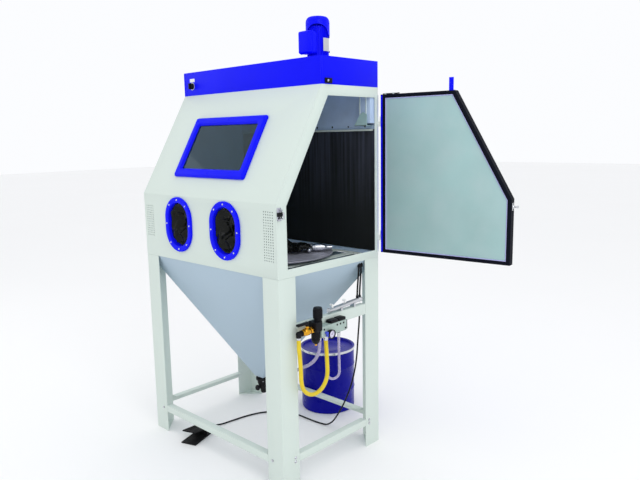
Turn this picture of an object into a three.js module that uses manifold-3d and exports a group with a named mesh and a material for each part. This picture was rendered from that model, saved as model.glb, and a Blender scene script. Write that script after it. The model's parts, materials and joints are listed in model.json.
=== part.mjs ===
// Suction blast cabinet on legs, with a side door, a top-mounted extraction fan and a media drum.
// Millimetres, +Z up. The modelling frame has its origin on the floor under the middle of the
// cabinet, with the operator's side facing -Y and the side door on +X; at the end the whole group
// is shifted so that the origin is the bottom centre of everything but the free hoses.
import * as THREE from "three";
import { mergeVertices } from "three/addons/utils/BufferGeometryUtils.js";
import Module from "manifold-3d";

// ---------------------------------------------------------------- driving dimensions
const width = 1000;
const depth = 666;
const bodyBottom = 955;
const frontBreak = 1271; // where the upright front turns into the sloped one
const bodyTop = 1764;
const headerTop = 1883;
const slopeRun = 282; // how far back the slope reaches
const sheet = 3; // panel thickness
const gap = 0.3; // clearance between touching pieces

const legFlange = 100;
const legSheet = 4;
const footSheet = 6;
const anchorHole = 14;
const railTop = 145;
const railSize = 35;
const barTop = 740;
const barHeight = 52;
const barDepth = 32;

const portCentre = 178; // each glove port's distance from the middle of the pair
const portMiddle = -18; // the pair and the window sit slightly left of the cabinet's middle
const portWidth = 212;
const portHeight = 266;
const portHeightCentre = 1133;
const ringFace = 27;
const collarDepth = 25;

const windowWidth = 528;
const windowHeight = 322;
const windowFace = 34; // width of the window frame's four sides
const windowFoot = 101; // distance up the slope from the break to the frame

const hopperOutletTop = 318;
const outletHalf = 30;

const tableX = 120; // turntable centre
const tableY = -10;
const tableRadius = 290;
const tableTop = 988;

const openingFront = -277;
const openingRear = 311;
const openingBottom = 992;
const openingTop = 1717;
const openingBreak = 1259; // where its upright front edge turns
const openingSlopeInset = 66; // between its sloped edge and the panel's, along Y

const hingeX = 515;
const hingeY = 336;
const doorRest = THREE.MathUtils.degToRad(97); // how far the door stands open
const doorInner = 506; // inner face of the closed door
const doorOuter = 540;
const doorFront = -307;
const doorRear = 331;
const doorBottom = 983;
const doorTop = 1730;
const hingeHeights = { upper: 1607, lower: 1063 };
const hingeHalf = 23; // height of each half of a hinge
const knuckle = 4.6;
const pinRadius = 2.2;
const keeperHeight = 1235;

const motorX = 300;
const motorY = 141;
const motorTop = 2087;

const drumY = 494; // drum centre, behind the rear rail
const drumRadius = 152;
const drumFoot = 134; // its radius at the bottom
const drumHeight = 352;

const left = -width / 2;
const right = width / 2;
const front = -depth / 2;
const rear = depth / 2;
const slopeAngle = Math.atan2(bodyTop - frontBreak, slopeRun);
const headerFront = front + slopeRun;

// ---------------------------------------------------------------- materials
function finish(color, roughness, metalness = 0) {
  return new THREE.MeshStandardMaterial({ color, roughness, metalness });
}
const paintGrey = finish(0xdde3e2, 0.45);
const paintBlue = finish(0x1420d8, 0.35);
const hopperGrey = finish(0xb9c6ce, 0.5);
const liningGrey = finish(0x9dbab6, 0.5);
const rubberBlack = finish(0x15161a, 0.85);
const plasticBlack = finish(0x1a1a1c, 0.5);
const steel = finish(0xb8bcc4, 0.3, 1);
const aluminium = finish(0xc6c9cc, 0.4, 0.8);
const brass = finish(0xd09a2c, 0.3, 1);
const glassTint = finish(0x3b4346, 0.08);
const drumBlue = finish(0x1018b8, 0.2);
const hoseYellow = finish(0xe6cf12, 0.5);
const hoseClear = finish(0xcfc8e6, 0.25);
const lampWhite = finish(0xf4f4ee, 0.6);
const filterCream = finish(0xe4dcc6, 0.9);
const gaugeWhite = finish(0xe9e6f2, 0.3);

// ---------------------------------------------------------------- solids
const wasm = await Module();
wasm.setup();

function solidFrom(geometry) {
  const bare = geometry.clone();
  bare.deleteAttribute("normal");
  bare.deleteAttribute("uv");
  const merged = mergeVertices(bare, 1e-4);
  const mesh = new wasm.Mesh({
    numProp: 3,
    vertProperties: merged.attributes.position.array,
    triVerts: new Uint32Array(merged.index.array),
  });
  return new wasm.Manifold(mesh);
}

function geometryFrom(solid) {
  const mesh = solid.getMesh();
  const geometry = new THREE.BufferGeometry();
  geometry.setAttribute("position", new THREE.BufferAttribute(mesh.vertProperties, 3));
  geometry.setIndex(new THREE.BufferAttribute(mesh.triVerts, 1));
  return geometry;
}

function join(...geometries) {
  return geometryFrom(geometries.map(solidFrom).reduce((a, b) => a.add(b)));
}

function cut(base, ...tools) {
  return geometryFrom(tools.map(solidFrom).reduce((a, b) => a.subtract(b), solidFrom(base)));
}

// A box between two opposite corners.
function slab(x0, x1, y0, y1, z0, z1) {
  const box = new THREE.BoxGeometry(x1 - x0, y1 - y0, z1 - z0);
  return box.translate((x0 + x1) / 2, (y0 + y1) / 2, (z0 + z1) / 2);
}

// A round bar between two points.
function rod(radius, from, to, sides = 16, endRadius = radius) {
  const a = new THREE.Vector3(...from);
  const b = new THREE.Vector3(...to);
  const bar = new THREE.CylinderGeometry(endRadius, radius, a.distanceTo(b), sides);
  const turn = new THREE.Quaternion();
  turn.setFromUnitVectors(new THREE.Vector3(0, 1, 0), b.clone().sub(a).normalize());
  bar.applyQuaternion(turn);
  return bar.translate((a.x + b.x) / 2, (a.y + b.y) / 2, (a.z + b.z) / 2);
}

// A turned piece: radius and height pairs, spun about the Z axis.
function turned(profile, sides = 24) {
  const points = profile.map(([radius, height]) => new THREE.Vector2(radius, height));
  return new THREE.LatheGeometry(points, sides).rotateX(Math.PI / 2);
}

function shapeFrom(points) {
  return new THREE.Shape(points.map(([x, y]) => new THREE.Vector2(x, y)));
}

function extrude(shape, thickness) {
  return new THREE.ExtrudeGeometry(shape, { depth: thickness, bevelEnabled: false, curveSegments: 6 });
}

// A plate whose outline is drawn as (y, z) and which runs from x0 to x1.
function sidePlate(points, x0, x1) {
  const axes = new THREE.Matrix4().makeBasis(
    new THREE.Vector3(0, 1, 0),
    new THREE.Vector3(0, 0, 1),
    new THREE.Vector3(1, 0, 0),
  );
  return extrude(shapeFrom(points), x1 - x0).applyMatrix4(axes).translate(x0, 0, 0);
}

// A plate whose shape is drawn as (x, z) and which runs from y0 to y1.
function frontPlate(shape, y0, y1) {
  return extrude(shape, y1 - y0).rotateX(Math.PI / 2).translate(0, y1, 0);
}

// An upright slot with round ends, drawn about its centre.
function obround(acrossX, tall) {
  const radius = acrossX / 2;
  const straight = (tall - acrossX) / 2;
  const shape = new THREE.Shape();
  shape.absarc(0, straight, radius, 0, Math.PI);
  shape.absarc(0, -straight, radius, Math.PI, 2 * Math.PI);
  return shape;
}

function roundedBox(acrossX, tall, corner) {
  const x = acrossX / 2;
  const y = tall / 2;
  const shape = new THREE.Shape();
  shape.absarc(x - corner, y - corner, corner, 0, Math.PI / 2);
  shape.absarc(corner - x, y - corner, corner, Math.PI / 2, Math.PI);
  shape.absarc(corner - x, corner - y, corner, Math.PI, 1.5 * Math.PI);
  shape.absarc(x - corner, corner - y, corner, 1.5 * Math.PI, 2 * Math.PI);
  return shape;
}

// A solid with six flat faces, from the four corners of its lower and of its upper end.
function hexahedron(lower, upper) {
  const box = new THREE.BoxGeometry(2, 2, 2);
  const place = box.attributes.position;
  for (let i = 0; i < place.count; i += 1) {
    const corners = place.getZ(i) > 0 ? upper : lower;
    const corner = (place.getX(i) > 0 ? 1 : 0) + (place.getY(i) > 0 ? 2 : 0);
    place.setXYZ(i, ...corners[corner]);
  }
  return box;
}

// A hose along a smooth curve through hand-chosen points.
function hose(points, diameter, sides = 10) {
  const path = new THREE.CatmullRomCurve3(points.map((p) => new THREE.Vector3(...p)));
  const circle = new THREE.Shape();
  for (let i = 0; i < sides; i += 1) {
    const angle = (2 * Math.PI * i) / sides;
    const method = i === 0 ? "moveTo" : "lineTo";
    circle[method]((diameter / 2) * Math.cos(angle), (diameter / 2) * Math.sin(angle));
  }
  const steps = Math.min(60, Math.ceil(path.getLength() / (3 * diameter)));
  return new THREE.ExtrudeGeometry(circle, { extrudePath: path, steps, bevelEnabled: false });
}

const root = new THREE.Group();

function part(name, geometry, material, parent = root) {
  const mesh = new THREE.Mesh(geometry, material);
  mesh.name = name;
  parent.add(mesh);
  return mesh;
}

// ---------------------------------------------------------------- stand: legs, rails, service bar
function leg(sideX, sideY) {
  const cornerX = sideX * right;
  const cornerY = sideY * rear;
  const inX = (d) => cornerX - sideX * d;
  const inY = (d) => cornerY - sideY * d;
  const between = (a, b) => [Math.min(a, b), Math.max(a, b)];
  const top = bodyBottom - gap;
  const faceFlange = slab(...between(cornerX, inX(legFlange)), ...between(cornerY, inY(legSheet)), 0, top);
  const sideFlange = slab(...between(cornerX, inX(legSheet)), ...between(cornerY, inY(legFlange)), 0, top);
  const foot = extrude(
    shapeFrom([
      [cornerX, cornerY],
      [inX(legFlange), cornerY],
      [cornerX, inY(legFlange)],
    ]),
    footSheet,
  );
  const hole = rod(anchorHole / 2, [inX(32), inY(32), -1], [inX(32), inY(32), footSheet + 1], 12);
  return cut(join(faceFlange, sideFlange, foot), hole);
}

for (const [endName, sideY] of [["front", -1], ["rear", 1]]) {
  for (const [sideName, sideX] of [["left", -1], ["right", 1]]) {
    part(`leg_${endName}_${sideName}`, leg(sideX, sideY), paintGrey);
  }
}

function angleAlongX(sideY, top, height, inward) {
  const x = right - legFlange - gap;
  const outer = sideY * rear;
  const upright = [outer, outer - sideY * legSheet].sort((a, b) => a - b);
  const flat = [outer, outer - sideY * inward].sort((a, b) => a - b);
  return join(slab(-x, x, ...upright, top - height, top), slab(-x, x, ...flat, top - legSheet, top));
}

function angleAlongY(sideX, top, height, inward) {
  const y = rear - legFlange - gap;
  const outer = sideX * right;
  const upright = [outer, outer - sideX * legSheet].sort((a, b) => a - b);
  const flat = [outer, outer - sideX * inward].sort((a, b) => a - b);
  return join(slab(...upright, -y, y, top - height, top), slab(...flat, -y, y, top - legSheet, top));
}

part("rail_front", angleAlongX(-1, railTop, railSize, railSize), paintGrey);
part("rail_rear", angleAlongX(1, railTop, railSize, railSize), paintGrey);
part("rail_left", angleAlongY(-1, railTop, railSize, railSize), paintGrey);
part("rail_right", angleAlongY(1, railTop, railSize, railSize), paintGrey);
part("service_bar", angleAlongY(1, barTop, barHeight, barDepth), paintGrey);

// ---------------------------------------------------------------- body panels
const sideOutline = [
  [front, bodyBottom],
  [rear, bodyBottom],
  [rear, bodyTop],
  [headerFront, bodyTop],
  [front, frontBreak],
];

// Where the sloped front is at a height.
function slopeY(z) {
  return front + (z - frontBreak) / Math.tan(slopeAngle);
}

// Lift-off hinges: the frame half is welded to the door frame and carries the pin.
function frameHinge(height) {
  const bottom = height - hingeHalf;
  const axis = (z) => [hingeX, hingeY, z];
  return join(
    rod(knuckle, axis(bottom), axis(height - gap), 14),
    rod(pinRadius, axis(height - 5), axis(height + hingeHalf - 2), 10),
    slab(right - 1, hingeX, rear - 0.6, rear + 3, bottom, height - gap),
  );
}

function doorFrame() {
  const opening = [
    [openingFront, openingBottom],
    [openingRear, openingBottom],
    [openingRear, openingTop],
    [slopeY(openingTop) + openingSlopeInset, openingTop],
    [openingFront, openingBreak],
  ];
  const hingeStrip = slab(right - 1, right + 3.5, openingRear + 9, rear, doorBottom, doorTop);
  const hinges = Object.values(hingeHeights).map(frameHinge);
  const panel = join(sidePlate(sideOutline, right - sheet, right), hingeStrip, ...hinges);
  return cut(panel, sidePlate(opening, right - sheet - 1, right + 1));
}

part("left_panel", sidePlate(sideOutline, left, left + sheet), paintGrey);
part("door_frame", doorFrame(), paintGrey);

const innerLeft = left + sheet + gap;
const innerRight = right - sheet - gap;

function frontPanel() {
  const across = sheet / Math.sin(slopeAngle);
  const profile = [
    [front, bodyBottom],
    [front + sheet, bodyBottom],
    [front + sheet, frontBreak - sheet / 2],
    [headerFront + across, bodyTop],
    [headerFront, bodyTop],
    [front, frontBreak],
  ];
  const holes = [-1, 1].map((side) => {
    const hole = obround(portWidth - 2 * ringFace + 8, portHeight - 2 * ringFace + 8);
    const cutter = frontPlate(hole, front - 5, front + sheet + 5);
    return cutter.translate(portMiddle + side * portCentre, 0, portHeightCentre);
  });
  const glassHole = roundedBox(windowWidth - 2 * windowFace + 40, windowHeight - 2 * windowFace + 40, 22);
  const windowCutter = extrude(glassHole, 20)
    .translate(portMiddle - 3, windowFoot + windowHeight / 2, -12)
    .rotateX(slopeAngle)
    .translate(0, front, frontBreak);
  return cut(sidePlate(profile, innerLeft, innerRight), ...holes, windowCutter);
}

part("front_panel", frontPanel(), paintGrey);

function rearPanel() {
  const panel = slab(innerLeft, innerRight, rear - sheet, rear, bodyBottom, bodyTop);
  const duct = slab(428, 492, rear - 48, rear - 1, 1600, bodyTop - sheet - gap);
  const ductHollow = slab(431, 489, rear - 45, rear - sheet, 1595, bodyTop - sheet);
  return cut(join(panel, duct), ductHollow);
}

part("rear_panel", rearPanel(), paintGrey);

function roofPanel() {
  const panel = slab(innerLeft, innerRight, headerFront + 6, rear - sheet - gap, bodyTop - sheet, bodyTop);
  const filterMouth = slab(-320, 20, 20, 280, bodyTop - 10, bodyTop + 5);
  return cut(panel, filterMouth);
}

part("roof_panel", roofPanel(), paintGrey);

function headerHousing() {
  const bottom = bodyTop + gap;
  const shell = slab(left, right, headerFront, rear, bottom, headerTop);
  const hollow = slab(
    left + sheet,
    right - sheet,
    headerFront + sheet,
    rear - sheet,
    bottom - 5,
    headerTop - sheet,
  );
  const shaftHole = rod(18, [motorX, motorY, headerTop - 8], [motorX, motorY, headerTop + 5], 16);
  return cut(shell, hollow, shaftHole);
}

part("header_housing", headerHousing(), paintBlue);

// ---------------------------------------------------------------- hopper and media valve
// One wall of the hopper, mitred at both ends: it faces +X when its reach is along X, and so on.
function hopperWall(across, reachTop, reachBottom, turn) {
  const corners = (half, reach, z) => [
    [reach - sheet, sheet + gap / 2 - half, z],
    [reach, gap / 2 - half, z],
    [reach - sheet, half - sheet - gap / 2, z],
    [reach, half - gap / 2, z],
  ];
  const lower = corners(outletHalf, reachBottom, hopperOutletTop);
  const upper = corners(across, reachTop, bodyBottom - gap);
  return hexahedron(lower, upper).rotateZ(turn);
}

const hopperHalfX = right - legSheet - 1;
const hopperHalfY = rear - legSheet - 1;
const hopperWalls = {
  right: hopperWall(hopperHalfY, hopperHalfX, outletHalf, 0),
  rear: hopperWall(hopperHalfX, hopperHalfY, outletHalf, Math.PI / 2),
  left: hopperWall(hopperHalfY, hopperHalfX, outletHalf, Math.PI),
  front: hopperWall(hopperHalfX, hopperHalfY, outletHalf, -Math.PI / 2),
};
for (const [side, wall] of Object.entries(hopperWalls)) part(`hopper_${side}`, wall, hopperGrey);

function mediaValve() {
  const ringTop = hopperOutletTop - gap;
  const ring = cut(
    turned([[0, 298], [38, 298], [38, 310], [26, 310], [26, ringTop], [0, ringTop]]),
    rod(19, [0, 0, 290], [0, 0, 330], 20),
  );
  const cone = turned([[0, 226], [13, 226], [16, 240], [30, 280], [30, 299], [0, 299]]);
  const spout = rod(9, [0, 0, 256], [46, 0, 250], 12);
  return join(ring, cone, spout);
}

part("media_valve", mediaValve(), plasticBlack);

const knobAxisY = -22;
const valveKnob = join(
  rod(5, [0, knobAxisY - gap - 4, 262], [0, knobAxisY - 16, 262], 12),
  rod(14, [0, knobAxisY - 12, 262], [0, knobAxisY - 24, 262], 10),
);
part("media_valve_knob", valveKnob, plasticBlack);

// ---------------------------------------------------------------- chamber: grate, turntable, lining, lamp
const grateTop = bodyBottom + 12;
const grateSheet = 4;
const slotCount = 8;
const slotPitch = 120;
const slotWidth = 76;

function floorGrate() {
  const edge = 8; // all round, between the grate and the panels
  const margin = 33; // solid strip at each end of the slots
  const x = right - edge - 4;
  const plate = slab(-x, x, front + edge, rear - edge, grateTop - grateSheet, grateTop);
  const slots = [];
  for (let i = 0; i < slotCount; i += 1) {
    const middle = (i - (slotCount - 1) / 2) * slotPitch;
    const sides = [middle - slotWidth / 2, middle + slotWidth / 2];
    slots.push(slab(...sides, front + margin, rear - margin, grateTop - 9, grateTop + 9));
  }
  return cut(plate, ...slots);
}

part("floor_grate", floorGrate(), liningGrey);

const disc = turned(
  [
    [0, grateTop + gap],
    [95, grateTop + gap],
    [95, tableTop - 11],
    [40, tableTop - 8],
    [tableRadius - 4, tableTop - 8],
    [tableRadius, tableTop - 6],
    [tableRadius, tableTop],
    [0, tableTop],
  ],
  48,
);
part("turntable", disc.translate(tableX, tableY, 0), steel);

const curtain = slab(-484, 484, rear - sheet - 8, rear - sheet - gap, 985, 1572);
part("rear_curtain", curtain, rubberBlack);

const lampBox = slab(-300, 300, 40, 96, 1722, bodyTop - sheet - gap);
part("work_lamp", lampBox, lampWhite);

// ---------------------------------------------------------------- window
const slope = new THREE.Group();
slope.position.set(0, front, frontBreak);
slope.rotation.x = slopeAngle;
root.add(slope);

const windowCentreX = portMiddle - 3;
const windowCentreUp = windowFoot + windowHeight / 2;
const glassWidth = windowWidth - 2 * windowFace + 20;
const glassHeight = windowHeight - 2 * windowFace + 20;

function windowFrame() {
  const bevel = 9;
  const outline = roundedBox(windowWidth - 2 * bevel, windowHeight - 2 * bevel, 3);
  outline.holes.push(roundedBox(windowWidth - 2 * windowFace, windowHeight - 2 * windowFace, 16));
  const plate = new THREE.ExtrudeGeometry(outline, {
    depth: 8,
    bevelEnabled: true,
    bevelThickness: 8,
    bevelSize: bevel,
    bevelSegments: 1,
    curveSegments: 4,
  });
  const behind = slab(-width, width, -width, width, -20, 0);
  const rebate = extrude(roundedBox(glassWidth + 1, glassHeight + 1, 14), 6);
  return cut(plate, behind, rebate.translate(0, 0, -1));
}

const frameMesh = part("window_frame", windowFrame(), paintBlue, slope);
frameMesh.position.set(windowCentreX, windowCentreUp, gap);
const glass = extrude(roundedBox(glassWidth, glassHeight, 14), 4);
const glassMesh = part("window_glass", glass, glassTint, slope);
glassMesh.position.set(windowCentreX, windowCentreUp, 0.6);

// ---------------------------------------------------------------- glove ports and gloves
const boltSpots = 8;

function gloveRing() {
  const plateFront = front - 10;
  const plateRear = front - gap;
  const inner = obround(portWidth - 2 * ringFace, portHeight - 2 * ringFace);
  const plate = frontPlate(obround(portWidth, portHeight), plateFront, plateRear);
  const collar = frontPlate(
    obround(portWidth - 2 * ringFace + 6, portHeight - 2 * ringFace + 6),
    plateRear - 1,
    front + collarDepth,
  );
  const mouth = frontPlate(inner, plateFront - 5, front + collarDepth + 5);
  const bolts = [];
  const straight = (portHeight - portWidth) / 2;
  for (let i = 0; i < boltSpots; i += 1) {
    const angle = (Math.PI * i) / 4;
    const reach = portWidth / 2 - 13;
    const x = reach * Math.cos(angle);
    const z = reach * Math.sin(angle) + Math.sign(Math.round(Math.sin(angle) * 10)) * straight;
    bolts.push(rod(5, [x, plateFront + 1, z], [x, plateFront - 4, z], 6));
  }
  return cut(join(plate, collar, ...bolts), mouth);
}

// A sleeve from the port down to the turntable, with the hand lying on it.
function glove(elbow, hand) {
  const cuffY = front + collarDepth + 1;
  const cuff = frontPlate(obround(portWidth - 2 * ringFace, portHeight - 2 * ringFace), cuffY, cuffY + 44);
  const forearm = rod(64, [0, cuffY + 34, -6], elbow, 14, 44);
  const wrist = rod(44, elbow, hand, 14, 24);
  const palm = new THREE.SphereGeometry(1, 14, 8).scale(46, 78, 22).rotateZ(-0.4);
  return join(cuff, forearm, wrist, palm.translate(...hand));
}

const gloveReach = {
  left: { elbow: [30, -130, -70], hand: [70, 0, -116] },
  right: { elbow: [20, -130, -70], hand: [66, 20, -116] },
};
for (const [name, side] of [["left", -1], ["right", 1]]) {
  const x = portMiddle + side * portCentre;
  const place = (mesh) => mesh.position.set(x, 0, portHeightCentre);
  place(part(`glove_ring_${name}`, gloveRing(), paintBlue));
  place(part(`glove_${name}`, glove(gloveReach[name].elbow, gloveReach[name].hand), rubberBlack));
}

// ---------------------------------------------------------------- blast gun, lying by the right glove
function blastGun() {
  const z = tableTop + 22;
  const body = rod(18, [262, 96, z], [318, 148, z], 14);
  const nozzle = rod(9, [316, 146, z], [342, 170, z], 12);
  const grip = rod(11, [270, 104, z], [296, 60, z - 6], 12);
  return join(body, nozzle, grip);
}

part("blast_gun", blastGun(), steel);

// ---------------------------------------------------------------- header equipment
const cassette = slab(-330, 30, 12, 290, bodyTop + 2, headerTop - 12);
part("filter_cassette", cassette, filterCream);

function fanImpeller() {
  const z0 = bodyTop + 14;
  const blades = [];
  for (let i = 0; i < 9; i += 1) {
    const blade = slab(34, 112, -2, 2, z0 + 3, z0 + 55).rotateZ((2 * Math.PI * i) / 9 + 0.01);
    blades.push(blade);
  }
  const backPlate = turned([[0, z0], [118, z0], [118, z0 + 4], [0, z0 + 4]], 32);
  const shaftTop = headerTop + 26;
  const hub = turned([[0, z0], [36, z0], [30, z0 + 62], [7, z0 + 62], [7, shaftTop], [0, shaftTop]]);
  return join(backPlate, hub, ...blades).translate(motorX, motorY, 0);
}

part("fan_impeller", fanImpeller(), aluminium);

function motorBody() {
  const fins = 20;
  const outline = [];
  for (let i = 0; i < fins; i += 1) {
    const start = (2 * Math.PI * i) / fins;
    const tooth = (0.35 * 2 * Math.PI) / fins;
    for (const [angle, radius] of [[0, 43], [0, 50], [tooth, 50], [tooth, 43]]) {
      outline.push([radius * Math.cos(start + angle), radius * Math.sin(start + angle)]);
    }
  }
  const finned = extrude(shapeFrom(outline), 110).translate(0, 0, headerTop + 24);
  const flange = turned([[0, gap], [56, gap], [56, 10], [48, 14], [48, 26], [0, 26]]);
  flange.translate(0, 0, headerTop);
  const cowlRim = headerTop + 117;
  const cowlProfile = [[0, cowlRim], [55.5, cowlRim], [55.5, motorTop - 14], [44, motorTop], [0, motorTop]];
  const cowl = turned(cowlProfile, 32);
  const bore = rod(10, [0, 0, headerTop - 2], [0, 0, headerTop + 34], 16);
  const terminalBox = slab(-40, 36, -92, -40, headerTop + 33, headerTop + 133);
  return cut(join(finned, flange, cowl, terminalBox), bore).translate(motorX, motorY, 0);
}

part("motor_body", motorBody(), paintBlue);

// ---------------------------------------------------------------- main switch on the header front
const switchX = -428;
const switchZ = 1812;
const switchFace = headerFront - gap;
const switchKnob = join(
  rod(16, [switchX, switchFace, switchZ], [switchX, switchFace - 15, switchZ], 20),
  slab(switchX - 4, switchX + 4, switchFace - 24, switchFace - 12, switchZ - 15, switchZ + 15),
);
part("switch_knob", switchKnob, plasticBlack);

// ---------------------------------------------------------------- door interlock on the header side
const interlockY = -19;
const interlockZ = 1779;
const interlockBody = cut(
  slab(right + gap, right + 6, interlockY - 13, interlockY + 31, interlockZ - 11, interlockZ + 11),
  rod(5.5, [right - 2, interlockY, interlockZ], [right + 10, interlockY, interlockZ], 16),
);
part("interlock_switch", interlockBody, plasticBlack);
const plungerTip = right + 13;
const plunger = rod(5, [right + 4.6, interlockY, interlockZ], [plungerTip, interlockY, interlockZ], 16);
part("interlock_plunger", plunger, lampWhite);

// ---------------------------------------------------------------- door on its hinge
const door = new THREE.Group();
door.position.set(hingeX, hingeY, 0);
door.rotation.z = doorRest;
root.add(door);

// Door pieces are drawn where they are when the door is shut, and hung from the hinge axis.
function hung(name, geometry, material) {
  return part(name, geometry.translate(-hingeX, -hingeY, 0), material, door);
}

// The door's outline, drawn in by a margin on every side and by its own margin at the hinge.
function doorOutline(margin, hingeMargin = margin) {
  const slopeIn = margin / Math.sin(slopeAngle);
  const slopeFoot = frontBreak - 4;
  const bend = margin * Math.tan((Math.PI / 2 - slopeAngle) / 2);
  const topFront = doorFront + (doorTop - margin - slopeFoot) / Math.tan(slopeAngle) + slopeIn;
  return [
    [doorFront + margin, doorBottom + margin],
    [doorRear - hingeMargin, doorBottom + margin],
    [doorRear - hingeMargin, doorTop - margin],
    [topFront, doorTop - margin],
    [doorFront + margin, slopeFoot - bend],
  ];
}

const sealOuter = 2; // how far the seal stands in from the door's edge
const sealWidth = 14;
const hingeMargin = 12; // bare metal beside the hinges
const liningIn = 5;

const doorPan = cut(
  sidePlate(doorOutline(0), doorInner, doorOuter),
  sidePlate(doorOutline(sheet), doorInner + sheet, doorOuter - sheet),
  sidePlate(doorOutline(liningIn, hingeMargin + 6), doorInner - 5, doorInner + sheet + 1),
);
const tab = { front: -32, rear: -11, inner: plungerTip + 0.6, top: 1787 };
const tabUp = slab(tab.inner, tab.inner + 3, tab.front, tab.rear, doorTop - 1, tab.top);
const tabFoot = slab(tab.inner, doorOuter - 4, tab.front, tab.rear, doorTop - 1, doorTop + 3);

// The door half of each hinge drops over the frame half's pin.
function doorHinge(height) {
  const top = height + hingeHalf;
  const axis = (z) => [hingeX, hingeY, z];
  const barrel = rod(knuckle, axis(height + gap), axis(top), 14);
  const leaf = slab(hingeX, doorOuter - 2, doorRear - 1, doorRear + 2.6, height + gap, top);
  const bore = rod(pinRadius + 0.5, axis(height - 5), axis(top + 5), 10);
  return cut(join(barrel, leaf), bore);
}

const doorHinges = Object.values(hingeHeights).map(doorHinge);
hung("door_shell", join(doorPan, tabUp, tabFoot, ...doorHinges), paintBlue);
const lining = sidePlate(doorOutline(liningIn + gap, hingeMargin + 6 + gap), doorInner, doorInner + sheet);
hung("door_lining", lining, liningGrey);
const seal = cut(
  sidePlate(doorOutline(sealOuter, hingeMargin), right + 0.6, doorInner - gap),
  sidePlate(doorOutline(sealOuter + sealWidth, hingeMargin + sealWidth), right - 5, doorInner + 5),
);
hung("door_seal", seal, rubberBlack);

const keeperX = 524;
const keeper = join(
  slab(keeperX - 10, keeperX + 10, doorFront - 2.3, doorFront - gap, keeperHeight - 16, keeperHeight + 16),
  rod(4, [keeperX, doorFront - 1, keeperHeight], [keeperX, doorFront - 25, keeperHeight], 12),
  rod(6.2, [keeperX, doorFront - 17, keeperHeight], [keeperX, doorFront - 25, keeperHeight], 6),
);
hung("door_keeper", keeper, steel);

// ---------------------------------------------------------------- draw latch beside the door opening
const latchZ = keeperHeight - 5;
const latchPivot = [510, -314];
const bailPivot = [512, -323];
const latchBase = join(
  slab(right + gap, right + 3, -331, -309, latchZ - 27, latchZ + 27),
  ...[-1, 1].map((s) => {
    const inner = latchZ + s * 16;
    const outer = latchZ + s * 19;
    return slab(right + 2, 514, -319, -309.5, Math.min(inner, outer), Math.max(inner, outer));
  }),
);
part("latch_base", latchBase, aluminium);

const leverHalf = 8;
const lever = cut(
  join(
    slab(506, 515, -336, -311, latchZ - leverHalf, latchZ + leverHalf),
    rod(2, [...latchPivot, latchZ - 15.6], [...latchPivot, latchZ + 15.6], 10),
  ),
  rod(2.2, [...bailPivot, latchZ - 16], [...bailPivot, latchZ + 16], 10),
);
part("latch_lever", lever, plasticBlack);

const bailAngle = THREE.MathUtils.degToRad(-25);
const bailLength = 45;
const wireRadius = 1.5;
const bailTip = [
  bailPivot[0] + bailLength * Math.cos(bailAngle),
  bailPivot[1] + bailLength * Math.sin(bailAngle),
];
const bailHalf = 14;
const bailEnd = bailHalf + 1.4;
const bailWires = [latchZ - bailHalf, latchZ + bailHalf].map((z) => {
  return rod(wireRadius, [...bailPivot, z], [...bailTip, z], 8);
});
const bail = join(
  rod(wireRadius, [...bailPivot, latchZ - bailEnd], [...bailPivot, latchZ + bailEnd], 10),
  rod(3, [...bailTip, latchZ - bailEnd], [...bailTip, latchZ + bailEnd], 8),
  ...bailWires,
);
part("latch_bail", bail, steel);

// ---------------------------------------------------------------- air preparation on the service bar
const unitX = 528;
const regulatorY = -130;
const regulatorBody = join(
  slab(right + gap, 552, regulatorY - 35, regulatorY + 5.6, 700, 744),
  rod(20, [unitX, regulatorY - 15, 640], [unitX, regulatorY - 15, 702], 18),
  rod(17, [unitX, regulatorY, 740], [unitX, regulatorY, 752], 16),
);
part("regulator_body", regulatorBody, plasticBlack);
const regulatorKnob = rod(21.5, [unitX, regulatorY, 752.4], [unitX, regulatorY, 804], 18, 20.5);
part("regulator_knob", regulatorKnob, plasticBlack);

const blockFace = 545;
const valveBlock = join(
  slab(right + gap, blockFace, -124, 44, 664, 714),
  slab(right + 8, blockFace - 2, -58, 40, 713, 728),
);
part("valve_block", valveBlock, aluminium);

const gaugeY = -78;
const gaugeRadius = 23;
const gaugeZ = 676;
const gauge = rod(gaugeRadius, [blockFace + gap, gaugeY, gaugeZ], [blockFace + 24, gaugeY, gaugeZ], 24);
part("pressure_gauge", gauge, gaugeWhite);

const valveZ = 709;
const ballValve = join(
  rod(13, [unitX, -230, valveZ], [unitX, regulatorY - 35 - gap, valveZ], 6),
  rod(17, [unitX, -214, valveZ], [unitX, -182, valveZ], 12),
  rod(6, [unitX, -198, valveZ], [unitX, -198, valveZ + 26], 10),
  rod(12, [unitX, -229, valveZ], [unitX, -250, valveZ], 12),
  rod(12, [unitX, -250, valveZ + 10], [unitX, -250, 684 + gap], 12),
);
part("ball_valve", ballValve, brass);
const valveHandle = join(
  rod(9, [unitX, -198, valveZ + 26.4], [unitX, -198, valveZ + 42], 12),
  slab(unitX - 6, unitX + 6, -230, -194, valveZ + 34, valveZ + 42),
  slab(unitX - 11, unitX + 11, -264, -226, valveZ + 30, valveZ + 54),
);
part("ball_valve_handle", valveHandle, plasticBlack);

const manifoldBar = rod(12, [488, -18, barTop + 16], [488, 214, barTop + 28], 14);
part("air_manifold", manifoldBar, aluminium);

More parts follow.
